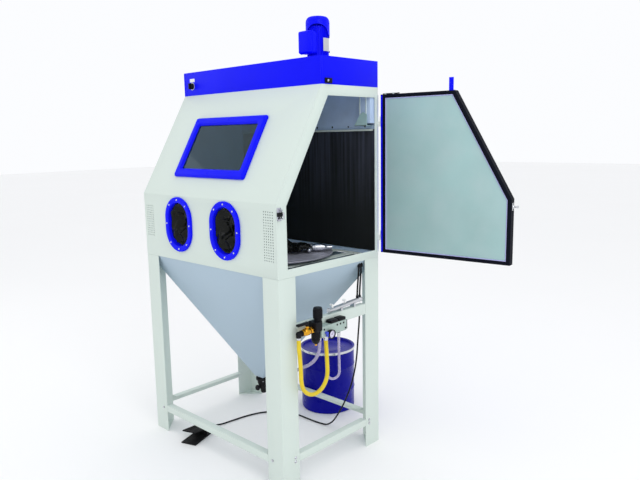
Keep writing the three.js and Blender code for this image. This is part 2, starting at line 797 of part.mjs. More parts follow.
// ---------------------------------------------------------------- hoses
const airHoseDiameter = 18.5;
const airHosePoints = [
  [528, -250, 683.5],
  [529, -250, 640],
  [533, -250, 600],
  [535.5, -250, 565],
  [537, -250, 533],
  [538, -250, 502],
  [539, -243.5, 470],
  [539.5, -225.5, 443.5],
  [540, -199, 425.5],
  [540, -167, 419],
  [540, -135, 425.5],
  [539.5, -108.5, 443.5],
  [539, -90.5, 470],
  [538, -84, 502],
  [537, -84, 533],
  [536, -84, 565],
  [534, -84, 600],
  [531, -84, 635],
  [530, -84, 663],
];
part("air_hose", hose(airHosePoints, airHoseDiameter, 12), hoseYellow);

const mediaHoseDiameter = 15;
const mediaHosePoints = [
  [520, -112, 663],
  [520, -112, 636],
  [518, -113, 606],
  [511, -117, 577],
  [496, -124, 550],
  [470, -131, 526],
  [430, -136, 503],
  [375, -134, 471],
  [318, -121, 432],
  [260, -101, 386],
  [202, -75, 336],
  [150, -48, 292],
  [114, -25, 265],
  [82, -9, 252.5],
  [49.5, 0, 249.9],
];
part("media_hose", hose(mediaHosePoints, mediaHoseDiameter), hoseClear);

const drainHoseDiameter = 12;
const drainHosePoints = [
  [540, -7, 663],
  [540, -7, 630],
  [540, -7, 590],
  [540, -6.5, 550],
  [540, -6, 515],
  [540, -6, 488],
  [540, -6, 474],
  [538.5, -10, 460],
  [534, -20, 450],
  [528.5, -34, 446],
  [523, -48, 450],
  [518.5, -58, 460],
  [517, -62, 474],
  [517, -62, 488],
  [517, -62, 515],
  [516, -61.5, 550],
  [516, -61, 590],
  [516, -61, 630],
  [516, -61, 663],
];
part("drain_hose", hose(drainHosePoints, drainHoseDiameter), hoseClear);

const pedalHoseDiameter = 8;
const pedalHosePoints = [
  [484, 205, 735],
  [484, 206, 712],
  [480, 211, 680],
  [473, 216, 640],
  [463, 222, 590],
  [452, 229, 530],
  [440, 236, 465],
  [423, 243, 395],
  [398, 250, 320],
  [364, 256, 240],
  [322, 261, 160],
  [276, 265, 88],
  [236, 268, 38],
  [196, 269, 11],
  [156, 268, 4.8],
  [110, 263, 4.6],
  [50, 262, 4.6],
  [-20, 260, 4.6],
  [-90, 240, 4.6],
  [-150, 200, 4.6],
  [-195, 140, 4.6],
  [-222, 60, 4.6],
  [-236, -30, 4.6],
  [-244, -100, 6],
  [-251, -150, 14],
  [-256.4, -176.2, 18],
];
part("pedal_hose", hose(pedalHosePoints, pedalHoseDiameter, 8), rubberBlack);

// ---------------------------------------------------------------- media drum
const drumProfile = [
  [0, 0],
  [drumFoot - 5, 0],
  [drumFoot, 6],
  [drumRadius - 4, 250],
  [drumRadius - 1, 256],
  [drumRadius - 3, 262],
  [drumRadius, drumHeight],
  [drumRadius - sheet, drumHeight],
  [drumFoot - sheet, 4],
  [0, 4],
];
part("drum", turned(drumProfile, 36).translate(0, drumY, 0), drumBlue);
const lidProfile = [
  [0, drumHeight - 14],
  [drumRadius - 8, drumHeight - 14],
  [drumRadius - 8, drumHeight + gap],
  [drumRadius + 1, drumHeight + gap],
  [drumRadius + 1, drumHeight - 8],
  [drumRadius + 6, drumHeight - 8],
  [drumRadius + 6, drumHeight + 6],
  [drumRadius - 11, drumHeight + 6],
  [drumRadius - 11, drumHeight - 10],
  [0, drumHeight - 10],
];
part("drum_lid", turned(lidProfile, 36).translate(0, drumY, 0), drumBlue);

// ---------------------------------------------------------------- foot pedal
const pedal = new THREE.Group();
pedal.position.set(-224, -268, 0);
pedal.rotation.z = THREE.MathUtils.degToRad(20);
root.add(pedal);

const pedalHalf = 44;
const pedalBase = join(
  slab(-pedalHalf, pedalHalf, -88, 88, 0, 7),
  ...[-1, 1].map((s) => {
    const walls = [s * (pedalHalf - 4), s * pedalHalf].sort((a, b) => a - b);
    return slab(...walls, 20, 88, 5, 40);
  }),
  slab(-20, 20, 40, 84, 5, 26),
);
part("pedal_base", pedalBase, plasticBlack, pedal);

const treadleTilt = THREE.MathUtils.degToRad(-11);
const treadlePivot = new THREE.Group();
treadlePivot.position.set(0, 66, 34);
treadlePivot.rotation.x = treadleTilt;
pedal.add(treadlePivot);
const treadle = join(slab(-38, 38, -150, 14, 0, 6), rod(4, [-39, 0, -1], [39, 0, -1], 10));
part("pedal_treadle", treadle, plasticBlack, treadlePivot);

// ---------------------------------------------------------------- the part's frame
const cordNames = ["air_hose", "media_hose", "drain_hose", "pedal_hose"];
root.updateMatrixWorld(true);
const bounds = new THREE.Box3();
root.traverse((item) => {
  if (item.isMesh && !cordNames.includes(item.name)) bounds.expandByObject(item, true);
});
const middle = bounds.getCenter(new THREE.Vector3());
root.position.set(-middle.x, -middle.y, -bounds.min.z);

export default root;
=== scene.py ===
"""Looks for a suction blast cabinet with its side door open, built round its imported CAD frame.

Metres throughout. Places are written in the cabinet's own frame, whose origin is on the floor under
the middle of the four legs, and at() moves them into the row frame.
"""

import json
import math

import bmesh
import bpy
import numpy as np
from mathutils import Matrix, Vector


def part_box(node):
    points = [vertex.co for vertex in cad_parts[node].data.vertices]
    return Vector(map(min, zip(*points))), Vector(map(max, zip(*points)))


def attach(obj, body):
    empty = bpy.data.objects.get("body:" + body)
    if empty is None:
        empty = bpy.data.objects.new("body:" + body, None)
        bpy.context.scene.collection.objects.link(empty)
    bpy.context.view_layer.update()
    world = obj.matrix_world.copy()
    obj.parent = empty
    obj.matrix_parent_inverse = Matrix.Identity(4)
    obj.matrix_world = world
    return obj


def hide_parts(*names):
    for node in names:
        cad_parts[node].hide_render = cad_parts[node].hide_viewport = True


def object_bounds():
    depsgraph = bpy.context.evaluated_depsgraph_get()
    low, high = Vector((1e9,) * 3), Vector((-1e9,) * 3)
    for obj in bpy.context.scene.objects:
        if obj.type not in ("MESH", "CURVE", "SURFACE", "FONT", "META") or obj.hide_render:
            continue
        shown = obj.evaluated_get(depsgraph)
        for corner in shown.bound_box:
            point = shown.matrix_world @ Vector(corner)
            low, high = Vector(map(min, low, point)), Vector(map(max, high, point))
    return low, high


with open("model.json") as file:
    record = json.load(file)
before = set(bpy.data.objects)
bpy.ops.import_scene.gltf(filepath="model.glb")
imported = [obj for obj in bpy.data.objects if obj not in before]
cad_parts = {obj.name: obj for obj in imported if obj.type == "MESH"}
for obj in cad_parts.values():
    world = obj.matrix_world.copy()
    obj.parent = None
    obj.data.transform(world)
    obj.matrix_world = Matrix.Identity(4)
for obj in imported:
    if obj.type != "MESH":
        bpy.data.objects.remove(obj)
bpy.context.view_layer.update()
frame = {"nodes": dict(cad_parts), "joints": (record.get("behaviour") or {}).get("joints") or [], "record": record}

NODES = frame["nodes"]
BODY_OF = {node: body for body, nodes in frame["record"]["behaviour"]["bodies"].items() for node in nodes}
SLOT_OF = {part["node"]: part["material_slot"] for part in frame["record"]["subparts"]}

# ------------------------------------------------------------------ the cabinet's frame and sizes
leg_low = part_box("leg_front_left")[0]
leg_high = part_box("leg_rear_right")[1]
HOME = Vector(((leg_low.x + leg_high.x) / 2, (leg_low.y + leg_high.y) / 2, 0))
RIGHT = (leg_high.x - leg_low.x) / 2
REAR = (leg_high.y - leg_low.y) / 2


def at(x, y, z):
    """A place in the cabinet's frame, as a place in the row frame."""
    return HOME + Vector((x, y, z))


def local_box(node):
    """A CAD node's lowest and highest corners in the cabinet's frame."""
    low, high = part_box(node)
    return low - HOME, high - HOME


BODY_BOTTOM = local_box("front_panel")[0].z
BODY_TOP = local_box("front_panel")[1].z
HEADER_TOP = local_box("header_housing")[1].z
HEADER_FRONT = local_box("header_housing")[0].y
FRONT_BREAK = 1.271
SLOPE_ANGLE = math.atan2(BODY_TOP - FRONT_BREAK, HEADER_FRONT + REAR)
FAN_LOW, FAN_HIGH = local_box("fan_impeller")
MOTOR = (FAN_LOW + FAN_HIGH) / 2
MOTOR_TOP = local_box("motor_body")[1].z
MOTOR_FINS = 28
COWL_LOW = HEADER_TOP + 0.117
DOOR_JOINT = next(j for j in frame["joints"] if j["name"] == "door_hinge")
HINGE = Vector(DOOR_JOINT["pos_m"]) - HOME
DOOR_OPEN = math.radians(-DOOR_JOINT["range_deg"][0])

# ------------------------------------------------------------------ camera
EYE = (2.403, -2.076, 1.542)
YAW = math.radians(43.6)
PITCH = math.radians(-9.25)
ROLL = math.radians(-1.0)
SENSOR = 36.0
LENS = 35.75


def make_camera():
    data = bpy.data.cameras.new("camera")
    data.lens = LENS
    data.sensor_width = SENSOR
    camera = bpy.data.objects.new("camera", data)
    bpy.context.collection.objects.link(camera)
    ahead = Vector((-math.sin(YAW) * math.cos(PITCH), math.cos(YAW) * math.cos(PITCH), math.sin(PITCH)))
    across = Vector((math.cos(YAW), math.sin(YAW), 0))
    above = across.cross(ahead)
    side = across * math.cos(ROLL) + above * math.sin(ROLL)
    upward = above * math.cos(ROLL) - across * math.sin(ROLL)
    turn = Matrix((side, upward, -ahead)).transposed().to_4x4()
    camera.matrix_world = Matrix.Translation(at(*EYE)) @ turn
    bpy.context.scene.camera = camera


make_camera()


# ------------------------------------------------------------------ node materials
def blank(name):
    made = bpy.data.materials.new(name)
    made.use_nodes = True
    tree = made.node_tree
    shader = tree.nodes["Principled BSDF"]
    return made, tree, shader


def noise(tree, scale, detail=4.0, stretch=(1, 1, 1)):
    """A noise texture in the piece's own space, drawn out along an axis where stretch is small."""
    place = tree.nodes.new("ShaderNodeTexCoord")
    mapping = tree.nodes.new("ShaderNodeMapping")
    mapping.inputs["Scale"].default_value = stretch
    texture = tree.nodes.new("ShaderNodeTexNoise")
    texture.inputs["Scale"].default_value = scale
    texture.inputs["Detail"].default_value = detail
    tree.links.new(place.outputs["Object"], mapping.inputs["Vector"])
    tree.links.new(mapping.outputs["Vector"], texture.inputs["Vector"])
    return texture.outputs["Fac"]


def spread(tree, value, low, high, start=0.3, end=0.7):
    """Maps a texture's value from start..end to low..high."""
    node = tree.nodes.new("ShaderNodeMapRange")
    node.inputs["From Min"].default_value = start
    node.inputs["From Max"].default_value = end
    node.inputs["To Min"].default_value = low
    node.inputs["To Max"].default_value = high
    tree.links.new(value, node.inputs["Value"])
    return node.outputs["Result"]


def mix_colour(tree, factor, first, second):
    node = tree.nodes.new("ShaderNodeMix")
    node.data_type = "RGBA"
    tree.links.new(factor, node.inputs[0])
    for socket, colour in ((6, first), (7, second)):
        if isinstance(colour, (tuple, list)):
            node.inputs[socket].default_value = (*colour, 1)
        else:
            tree.links.new(colour, node.inputs[socket])
    return node.outputs[2]


def combine(tree, operation, first, second):
    """A maths node on two values."""
    node = tree.nodes.new("ShaderNodeMath")
    node.operation = operation
    tree.links.new(first, node.inputs[0])
    tree.links.new(second, node.inputs[1])
    return node.outputs[0]


def shade(colour, factor):
    return tuple(min(1.0, c * factor) for c in colour)


def add_bump(tree, shader, height, strength, distance):
    bump = tree.nodes.new("ShaderNodeBump")
    bump.inputs["Strength"].default_value = strength
    bump.inputs["Distance"].default_value = distance
    tree.links.new(height, bump.inputs["Height"])
    tree.links.new(bump.outputs["Normal"], shader.inputs["Normal"])


def finish(
    name,
    colour,
    roughness=0.5,
    metallic=0.0,
    vary=0.05,
    patch=5.0,
    grain=500.0,
    grain_depth=0.00006,
    stretch=(1, 1, 1),
    uneven=0.06,
    dust=None,
    dust_cover=0.0,
    specular=0.5,
):
    """A surface with patchy colour, uneven gloss, a fine grain and, if asked, settled dust."""
    made, tree, shader = blank(name)
    patches = spread(tree, noise(tree, patch, 5.0), 0, 1)
    tone = mix_colour(tree, patches, shade(colour, 1 - vary), shade(colour, 1 + vary))
    if dust:
        film = spread(tree, noise(tree, patch * 2.3, 9.0), 0, dust_cover, 0.38, 0.75)
        tone = mix_colour(tree, film, tone, dust)
    tree.links.new(tone, shader.inputs["Base Color"])
    gloss = noise(tree, patch * 4, 6.0, stretch)
    tree.links.new(spread(tree, gloss, roughness - uneven, roughness + uneven), shader.inputs["Roughness"])
    shader.inputs["Metallic"].default_value = metallic
    shader.inputs["Specular IOR Level"].default_value = specular
    add_bump(tree, shader, noise(tree, grain, 3.0, stretch), 0.6, grain_depth)
    return made


def with_coat(made, weight, roughness=0.08):
    shader = made.node_tree.nodes["Principled BSDF"]
    shader.inputs["Coat Weight"].default_value = weight
    shader.inputs["Coat Roughness"].default_value = roughness
    return made


def clear(name, colour, roughness, ior=1.45, weight=1.0, tint=(1, 1, 1)):
    """A see-through solid, tinted, with faint streaks in its gloss."""
    made, tree, shader = blank(name)
    shader.inputs["Base Color"].default_value = (*colour, 1)
    shader.inputs["Transmission Weight"].default_value = weight
    shader.inputs["IOR"].default_value = ior
    shader.inputs["Specular Tint"].default_value = (*tint, 1)
    streaks = noise(tree, 40.0, 3.0)
    tree.links.new(spread(tree, streaks, roughness * 0.7, roughness * 1.5), shader.inputs["Roughness"])
    return made


def curtain_rubber():
    """Black insertion rubber: a fine square weave pressed into it, and media dust in the weave."""
    made, tree, shader = blank("curtain_rubber")
    place = tree.nodes.new("ShaderNodeTexCoord")
    heights = []
    for direction in ("X", "Z"):
        wave = tree.nodes.new("ShaderNodeTexWave")
        wave.bands_direction = direction
        wave.inputs["Scale"].default_value = 70.0
        wave.inputs["Distortion"].default_value = 0.6
        wave.inputs["Detail"].default_value = 2.0
        tree.links.new(place.outputs["Object"], wave.inputs["Vector"])
        heights.append(wave.outputs["Fac"])
    weave = combine(tree, "MULTIPLY", *heights)
    height = tree.nodes.new("ShaderNodeSeparateXYZ")
    tree.links.new(place.outputs["Object"], height.inputs[0])
    powdered = spread(tree, height.outputs["Z"], 0.04, 0.75, 1.15, 1.6)
    streaks = spread(tree, noise(tree, 60.0, 6.0, (1, 1, 0.03)), 0, 1, 0.35, 0.68)
    smear = combine(tree, "MULTIPLY", powdered, streaks)
    tone = mix_colour(tree, smear, (0.007, 0.009, 0.008), (0.075, 0.082, 0.125))
    threads = spread(tree, weave, 0, 0.25, 0.2, 0.9)
    tree.links.new(mix_colour(tree, threads, tone, (0.040, 0.043, 0.058)), shader.inputs["Base Color"])
    shader.inputs["Roughness"].default_value = 0.62
    shader.inputs["Specular IOR Level"].default_value = 0.25
    add_bump(tree, shader, weave, 0.5, 0.0006)
    return made


THREAD_TILT = 1.0


def braided(name, colour, thread):
    """A hose wall with two families of reinforcing threads showing, drawn on the tube's own UVs."""
    made, tree, shader = blank(name)
    place = tree.nodes.new("ShaderNodeTexCoord")
    lines = []
    for side in (-1, 1):
        turn = tree.nodes.new("ShaderNodeMapping")
        turn.inputs["Rotation"].default_value = (0, 0, side * THREAD_TILT)
        wave = tree.nodes.new("ShaderNodeTexWave")
        wave.inputs["Scale"].default_value = 5.5
        tree.links.new(place.outputs["UV"], turn.inputs["Vector"])
        tree.links.new(turn.outputs["Vector"], wave.inputs["Vector"])
        lines.append(spread(tree, wave.outputs["Fac"], 0, 1, 0.82, 0.98))
    both = combine(tree, "MAXIMUM", *lines)
    mottled = mix_colour(tree, spread(tree, noise(tree, 30.0), 0, 1), shade(colour, 0.93),
                         shade(colour, 1.05))
    faint = spread(tree, both, 0, 0.28, 0.0, 1.0)
    tree.links.new(mix_colour(tree, faint, mottled, thread), shader.inputs["Base Color"])
    shader.inputs["Roughness"].default_value = 0.38
    shader.inputs["Specular IOR Level"].default_value = 0.3
    add_bump(tree, shader, both, 0.35, 0.0004)
    return made


def brushed(name, colour, roughness, direction):
    """Metal with fine drawn lines along one axis: direction is small along the lines."""
    return finish(name, colour, roughness, 1.0, 0.05, 9.0, 320.0, 0.00005, direction, 0.09)


# Each finish: name, colour, roughness, metallic, vary, patch, grain, grain_depth, then named options.
MAT = {
    "body": finish("body_paint", (0.635, 0.715, 0.665), 0.5, 0, 0.015, 2.2, 420.0, 0.00009, specular=0.25),
    "blue": with_coat(
        finish("blue_paint", (0.003, 0.005, 0.88), 0.42, 0, 0.05, 3.0, 380.0, 0.00006,
               specular=0.06), 0.06, 0.12
    ),
    # Hopper paint: made darker and bluer than the body paint as painted shade under the cabinet.
    "hopper": finish("hopper_paint", (0.42, 0.53, 0.62), 0.5, 0, 0.03, 2.0, 420.0, 0.00009, specular=0.25),
    "lining": finish("lining_paint", (0.35, 0.525, 0.52), 0.55, 0, 0.06, 4.0, 300.0, 0.0001,
                     dust=(0.46, 0.56, 0.57), dust_cover=0.35, specular=0.2),
    "inner": finish("inner_paint", (0.58, 0.74, 1.0), 0.6, 0, 0.1, 3.0, 300.0, 0.0001,
                    dust=(0.30, 0.36, 0.48), dust_cover=0.45, specular=0.2),
    "curtain": curtain_rubber(),
    "glove": finish("glove_rubber", (0.004, 0.005, 0.004), 0.24, 0, 0.2, 12.0, 240.0, 0.0002,
                    dust=(0.02, 0.02, 0.018), dust_cover=0.2, specular=0.16),
    "seal": finish("seal_rubber", (0.003, 0.004, 0.010), 0.6, 0, 0.1, 20.0, 600.0, 0.0001, specular=0.07),
    "black": finish("black_plastic", (0.005, 0.005, 0.007), 0.42, 0, 0.15, 25.0, 900.0, 0.0001,
                    specular=0.15),
    "cast": finish("black_cast", (0.008, 0.008, 0.009), 0.55, 0, 0.2, 25.0, 350.0, 0.0004,
                   dust=(0.09, 0.09, 0.09), dust_cover=0.14, specular=0.1),
    "white": finish("white_plastic", (0.86, 0.86, 0.84), 0.4, 0, 0.03, 12.0, 700.0, 0.00004),
    "steel": brushed("brushed_steel", (0.50, 0.50, 0.58), 0.3, (1, 0.06, 1)),
    # Turntable steel: its lavender cast is painted reflection.
    "table": finish("table_steel", (0.50, 0.50, 0.58), 0.42, 0.45, 0.08, 14.0, 500.0, 0.0001,
                    dust=(0.12, 0.12, 0.14), dust_cover=0.3),
    "chrome": finish("chrome", (0.62, 0.63, 0.66), 0.16, 1.0, 0.03, 30.0, 200.0, 0.00002),
    "aluminium": brushed("aluminium", (0.60, 0.61, 0.64), 0.36, (1, 0.1, 1)),
    "brass": finish("brass", (0.72, 0.36, 0.03), 0.26, 1.0, 0.09, 40.0, 300.0, 0.00005),
    "drum": with_coat(
        finish("drum_enamel", (0.001, 0.001, 0.26), 0.3, 0, 0.14, 3.0, 60.0, 0.0002,
               specular=0.08), 0.1, 0.06
    ),
    "yellow": braided("yellow_hose", (0.72, 0.53, 0.006), (0.86, 0.72, 0.16)),
    "lavender": clear("clear_hose", (0.50, 0.45, 0.66), 0.25, 1.38, 0.35),
    # Window glass: a blue-green tint made dark as painted shade of the chamber seen through it.
    "glass": clear("window_glass", (0.10, 0.19, 0.25), 0.03, 1.40, tint=(0.50, 0.88, 1.0)),
    "dial": finish("gauge_dial", (0.72, 0.68, 0.86), 0.4, 0, 0.01, 20.0, 300.0, 0.00002),
    "mark": finish("dial_mark", (0.03, 0.03, 0.05), 0.5, 0, 0.05, 20.0, 300.0, 0.00002),
    "fitting_blue": finish("fitting_blue", (0.06, 0.09, 0.62), 0.35, 0, 0.05, 30.0, 400.0, 0.00004,
                           specular=0.3),
    "filter": finish("filter_media", (0.72, 0.67, 0.55), 0.9, 0, 0.06, 10.0, 500.0, 0.0003),
    "gasket": finish("window_gasket_rubber", (0.012, 0.014, 0.016), 0.4, 0, 0.1, 20.0, 600.0, 0.0001),
    # Door fold: the flange is the door's blue sheet; this light lavender is a painted highlight and reflection
    # along it.
    "fold": finish("door_fold_painted_highlight", (0.46, 0.46, 0.80), 0.4, 0, 0.08, 3.0, 380.0, 0.00006, specular=0.3),
    "block": finish("block_casting", (0.40, 0.50, 0.46), 0.5, 0.2, 0.05, 20.0, 600.0, 0.0001, specular=0.3),
    "lamp_lens": finish("lamp_lens", (0.92, 0.94, 0.96), 0.25, 0, 0.02, 8.0, 200.0, 0.00008),
}


# ------------------------------------------------------------------ pieces
def linked(name, bm):
    """A mesh object made from a bmesh, placed in the scene."""
    data = bpy.data.meshes.new(name)
    bm.to_mesh(data)
    bm.free()
    obj = bpy.data.objects.new(name, data)
    bpy.context.collection.objects.link(obj)
    return obj


def piece(name, bm, material, body="root", slot=None, replaces=(), smooth=35.0):
    """A visible piece from a bmesh, riding on a CAD body."""
    bmesh.ops.recalc_face_normals(bm, faces=bm.faces[:])
    obj = linked(name, bm)
    obj.data.materials.append(MAT[material])
    soften(obj, smooth)
    if replaces:
        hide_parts(*replaces)
    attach(obj, body)
    return obj


def soften(obj, angle):
    """Smooth shading, with edges sharper than angle kept sharp."""
    data = obj.data
    data.polygons.foreach_set("use_smooth", [True] * len(data.polygons))
    data.set_sharp_from_angle(angle=math.radians(angle))


def modified(obj, *modifiers):
    """Adds modifiers, given as (type, settings), and bakes them into the mesh."""
    for kind, settings in modifiers:
        modifier = obj.modifiers.new(kind.lower(), kind)
        for key, value in settings.items():
            setattr(modifier, key, value)
    graph = bpy.context.evaluated_depsgraph_get()
    baked = bpy.data.meshes.new_from_object(obj.evaluated_get(graph))
    obj.modifiers.clear()
    old = obj.data
    obj.data = baked
    bpy.data.meshes.remove(old)


def bevel(width, segments=2, angle=25.0):
    settings = {
        "width": width,
        "segments": segments,
        "limit_method": "ANGLE",
        "angle_limit": math.radians(angle),
        "harden_normals": False,
    }
    return ("BEVEL", settings)


def rounded(obj, width, segments=2, sharp=40.0, angle=25.0):
    """Bevels a piece's edges and, unless sharp is None, shades it smooth up to that angle."""
    modified(obj, bevel(width, segments, angle))
    if sharp is not None:
        soften(obj, sharp)


def slab(bm, low, high):
    """A box between two corners, in the cabinet's frame."""
    low, high = at(*low), at(*high)
    made = bmesh.ops.create_cube(bm, size=1)["verts"]
    size = high - low
    middle = (low + high) / 2
    for vertex in made:
        vertex.co = Vector(v * s for v, s in zip(vertex.co, size)) + middle
    return made


def rod(bm, start, end, radius, sides=24, end_radius=None):
    """A round bar between two places in the cabinet's frame."""
    start, end = at(*start), at(*end)
    along = end - start
    turn = along.to_track_quat("Z", "Y").to_matrix().to_4x4()
    made = bmesh.ops.create_cone(
        bm,
        cap_ends=True,
        segments=sides,
        radius1=radius,
        radius2=radius if end_radius is None else end_radius,
        depth=along.length,
    )["verts"]
    bmesh.ops.transform(bm, matrix=Matrix.Translation((start + end) / 2) @ turn, verts=made)


def ball(bm, centre, radius, squash=(1, 1, 1), detail=16):
    made = bmesh.ops.create_uvsphere(bm, u_segments=detail * 2, v_segments=detail, radius=radius)["verts"]
    scale = Matrix.Diagonal((*squash, 1))
    bmesh.ops.transform(bm, matrix=Matrix.Translation(at(*centre)) @ scale, verts=made)


def lathe(bm, profile, centre, axis=(0, 0, 1), sides=64):
    """Spins (radius, height) pairs about an axis through centre. The profile is closed on itself or
    starts and ends on the axis."""
    turn = Vector(axis).to_track_quat("Z", "Y")
    middle = at(*centre)
    rings = []
    for radius, height in profile:
        if radius < 1e-6:
            rings.append([bm.verts.new(middle + turn @ Vector((0, 0, height)))])
            continue
        angles = (2 * math.pi * i / sides for i in range(sides))
        spots = (Vector((radius * math.cos(a), radius * math.sin(a), height)) for a in angles)
        rings.append([bm.verts.new(middle + turn @ spot) for spot in spots])
    closed = len(rings[0]) > 1
    pairs = list(zip(rings, rings[1:] + rings[:1] if closed else rings[1:]))
    for a, b in pairs:
        for i in range(sides):
            j = (i + 1) % sides
            corners = [a[i % len(a)], a[j % len(a)], b[j % len(b)], b[i % len(b)]]
            unique = list(dict.fromkeys(corners))
            if len(unique) > 2:
                bm.faces.new(unique)


def turned(name, profile, centre, material, axis=(0, 0, 1), sides=64, **options):
    """A piece spun from one profile."""
    bm = bmesh.new()
    lathe(bm, profile, centre, axis, sides)
    piece(name, bm, material, **options)


def turned_slab(bm, low, high, angle):
    """A box turned about the upright line through its middle."""
    made = slab(bm, low, high)
    pivot = Matrix.Translation(at((low[0] + high[0]) / 2, (low[1] + high[1]) / 2, 0))
    bmesh.ops.transform(bm, matrix=pivot @ Matrix.Rotation(angle, 4, "Z") @ pivot.inverted(), verts=made)


def bridge(bm, loops, closed=True, ring=False):
    """Joins loops of equal length with quads: closed loops meet their own start, and in a ring the
    last loop meets the first."""
    following = loops[1:] + loops[:1] if ring else loops[1:]
    for a, b in zip(loops, following):
        for i in range(len(a) if closed else len(a) - 1):
            j = (i + 1) % len(a)
            bm.faces.new((a[i], a[j], b[j], b[i]))


def bolt(bm, place, normal, size=0.006, height=0.004):
    """A hex head on a washer, standing on a surface."""
    place, normal = Vector(place), Vector(normal).normalized()
    rod(bm, place, place + normal * height * 0.3, size * 1.35, 20)
    rod(bm, place + normal * height * 0.3, place + normal * height, size, 6)


def refined(node, material, width=0.0015, segments=2, angle=25.0):
    """A copy of a CAD node with rounded edges, which stands for the node."""
    source = NODES[node].data
    bm = bmesh.new()
    bm.from_mesh(source)
    bmesh.ops.remove_doubles(bm, verts=bm.verts[:], dist=1e-6)
    bmesh.ops.dissolve_limit(bm, angle_limit=math.radians(0.4), verts=bm.verts[:], edges=bm.edges[:])
    obj = piece(node + "_shown", bm, material, BODY_OF[node], SLOT_OF[node], [node])
    rounded(obj, width, segments, angle=angle)
    return obj


# ------------------------------------------------------------------ smooth routes and tubes
def spline(points, step):
    """A centripetal Catmull-Rom curve through the points, sampled about every step."""
    spots = [np.array(p, float) for p in points]
    spots = [2 * spots[0] - spots[1], *spots, 2 * spots[-1] - spots[-2]]
    curve = []
    for a, b, c, d in zip(spots, spots[1:], spots[2:], spots[3:]):
        knots = [0.0]
        for p, q in ((a, b), (b, c), (c, d)):
            knots.append(knots[-1] + math.sqrt(np.linalg.norm(q - p)))
        count = max(2, round(np.linalg.norm(c - b) / step))
        for t in np.linspace(knots[1], knots[2], count, endpoint=False):
            lines = []
            for (p, q), (u, v) in zip(((a, b), (b, c), (c, d)), zip(knots, knots[1:])):
                lines.append(p + (q - p) * (t - u) / (v - u))
            first = lines[0] + (lines[1] - lines[0]) * (t - knots[0]) / (knots[2] - knots[0])
            second = lines[1] + (lines[2] - lines[1]) * (t - knots[1]) / (knots[3] - knots[1])
            curve.append(first + (second - first) * (t - knots[1]) / (knots[2] - knots[1]))
    return curve + [spots[-2]]


def tube(name, path, radius, material, sides=20, **options):
    """A closed tube along a path in the cabinet's frame, with UVs that follow it."""
    path = [at(*p) for p in path]
    bm = bmesh.new()
    uv = bm.loops.layers.uv.new("along")
    ahead = (path[1] - path[0]).normalized()
    side = ahead.orthogonal().normalized()
    rings, lengths, run = [], [], 0.0
    for i, spot in enumerate(path):
        heading = (path[min(i + 1, len(path) - 1)] - path[max(i - 1, 0)]).normalized()
        side = (ahead.rotation_difference(heading) @ side).normalized()
        ahead = heading
        other = ahead.cross(side)
        run += (spot - path[i - 1]).length if i else 0.0
        wide = radius(run) if callable(radius) else radius
        angles = [2 * math.pi * k / sides for k in range(sides)]
        rings.append([bm.verts.new(spot + wide * (side * math.cos(a) + other * math.sin(a))) for a in angles])
        lengths.append(run)
    around = 2 * math.pi * (radius(0.0) if callable(radius) else radius)
    for i in range(len(rings) - 1):
        for k in range(sides):
            n = (k + 1) % sides
            face = bm.faces.new((rings[i][k], rings[i][n], rings[i + 1][n], rings[i + 1][k]))
            spots = ((k, i), (k + 1, i), (k + 1, i + 1), (k, i + 1))
            for loop, (across, row) in zip(face.loops, spots):
                loop[uv].uv = (across / sides, lengths[row] / around)
    bm.faces.new(list(reversed(rings[0])))
    bm.faces.new(rings[-1])
    return piece(name, bm, material, **options)


# ------------------------------------------------------------------ hoses
TUBE_STEP = 0.012

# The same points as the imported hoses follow.
AIR_ROUTE = (
    (0.528, -0.250, 0.6835), (0.529, -0.250, 0.640), (0.533, -0.250, 0.600), (0.5355, -0.250, 0.565),
    (0.537, -0.250, 0.533), (0.538, -0.250, 0.502), (0.539, -0.2435, 0.470), (0.5395, -0.2255, 0.4435),
    (0.540, -0.199, 0.4255), (0.540, -0.167, 0.419), (0.540, -0.135, 0.4255), (0.5395, -0.1085, 0.4435),
    (0.539, -0.0905, 0.470), (0.538, -0.084, 0.502), (0.537, -0.084, 0.533), (0.536, -0.084, 0.565),
    (0.534, -0.084, 0.600), (0.531, -0.084, 0.635), (0.530, -0.084, 0.663),
)
MEDIA_ROUTE = (
    (0.520, -0.112, 0.663), (0.520, -0.112, 0.636), (0.518, -0.113, 0.606), (0.511, -0.117, 0.577),
    (0.496, -0.124, 0.550), (0.470, -0.131, 0.526), (0.430, -0.136, 0.503), (0.375, -0.134, 0.471),
    (0.318, -0.121, 0.432), (0.260, -0.101, 0.386), (0.202, -0.075, 0.336), (0.150, -0.048, 0.292),
    (0.114, -0.025, 0.265), (0.082, -0.009, 0.2525), (0.0495, 0.000, 0.2499),
)
DRAIN_ROUTE = (
    (0.540, -0.007, 0.663), (0.540, -0.007, 0.630), (0.540, -0.007, 0.590), (0.540, -0.0065, 0.550),
    (0.540, -0.006, 0.515), (0.540, -0.006, 0.488), (0.540, -0.006, 0.474), (0.5385, -0.010, 0.460),
    (0.534, -0.020, 0.450), (0.5285, -0.034, 0.446), (0.523, -0.048, 0.450), (0.5185, -0.058, 0.460),
    (0.517, -0.062, 0.474), (0.517, -0.062, 0.488), (0.517, -0.062, 0.515), (0.516, -0.0615, 0.550),
    (0.516, -0.061, 0.590), (0.516, -0.061, 0.630), (0.516, -0.061, 0.663),
)
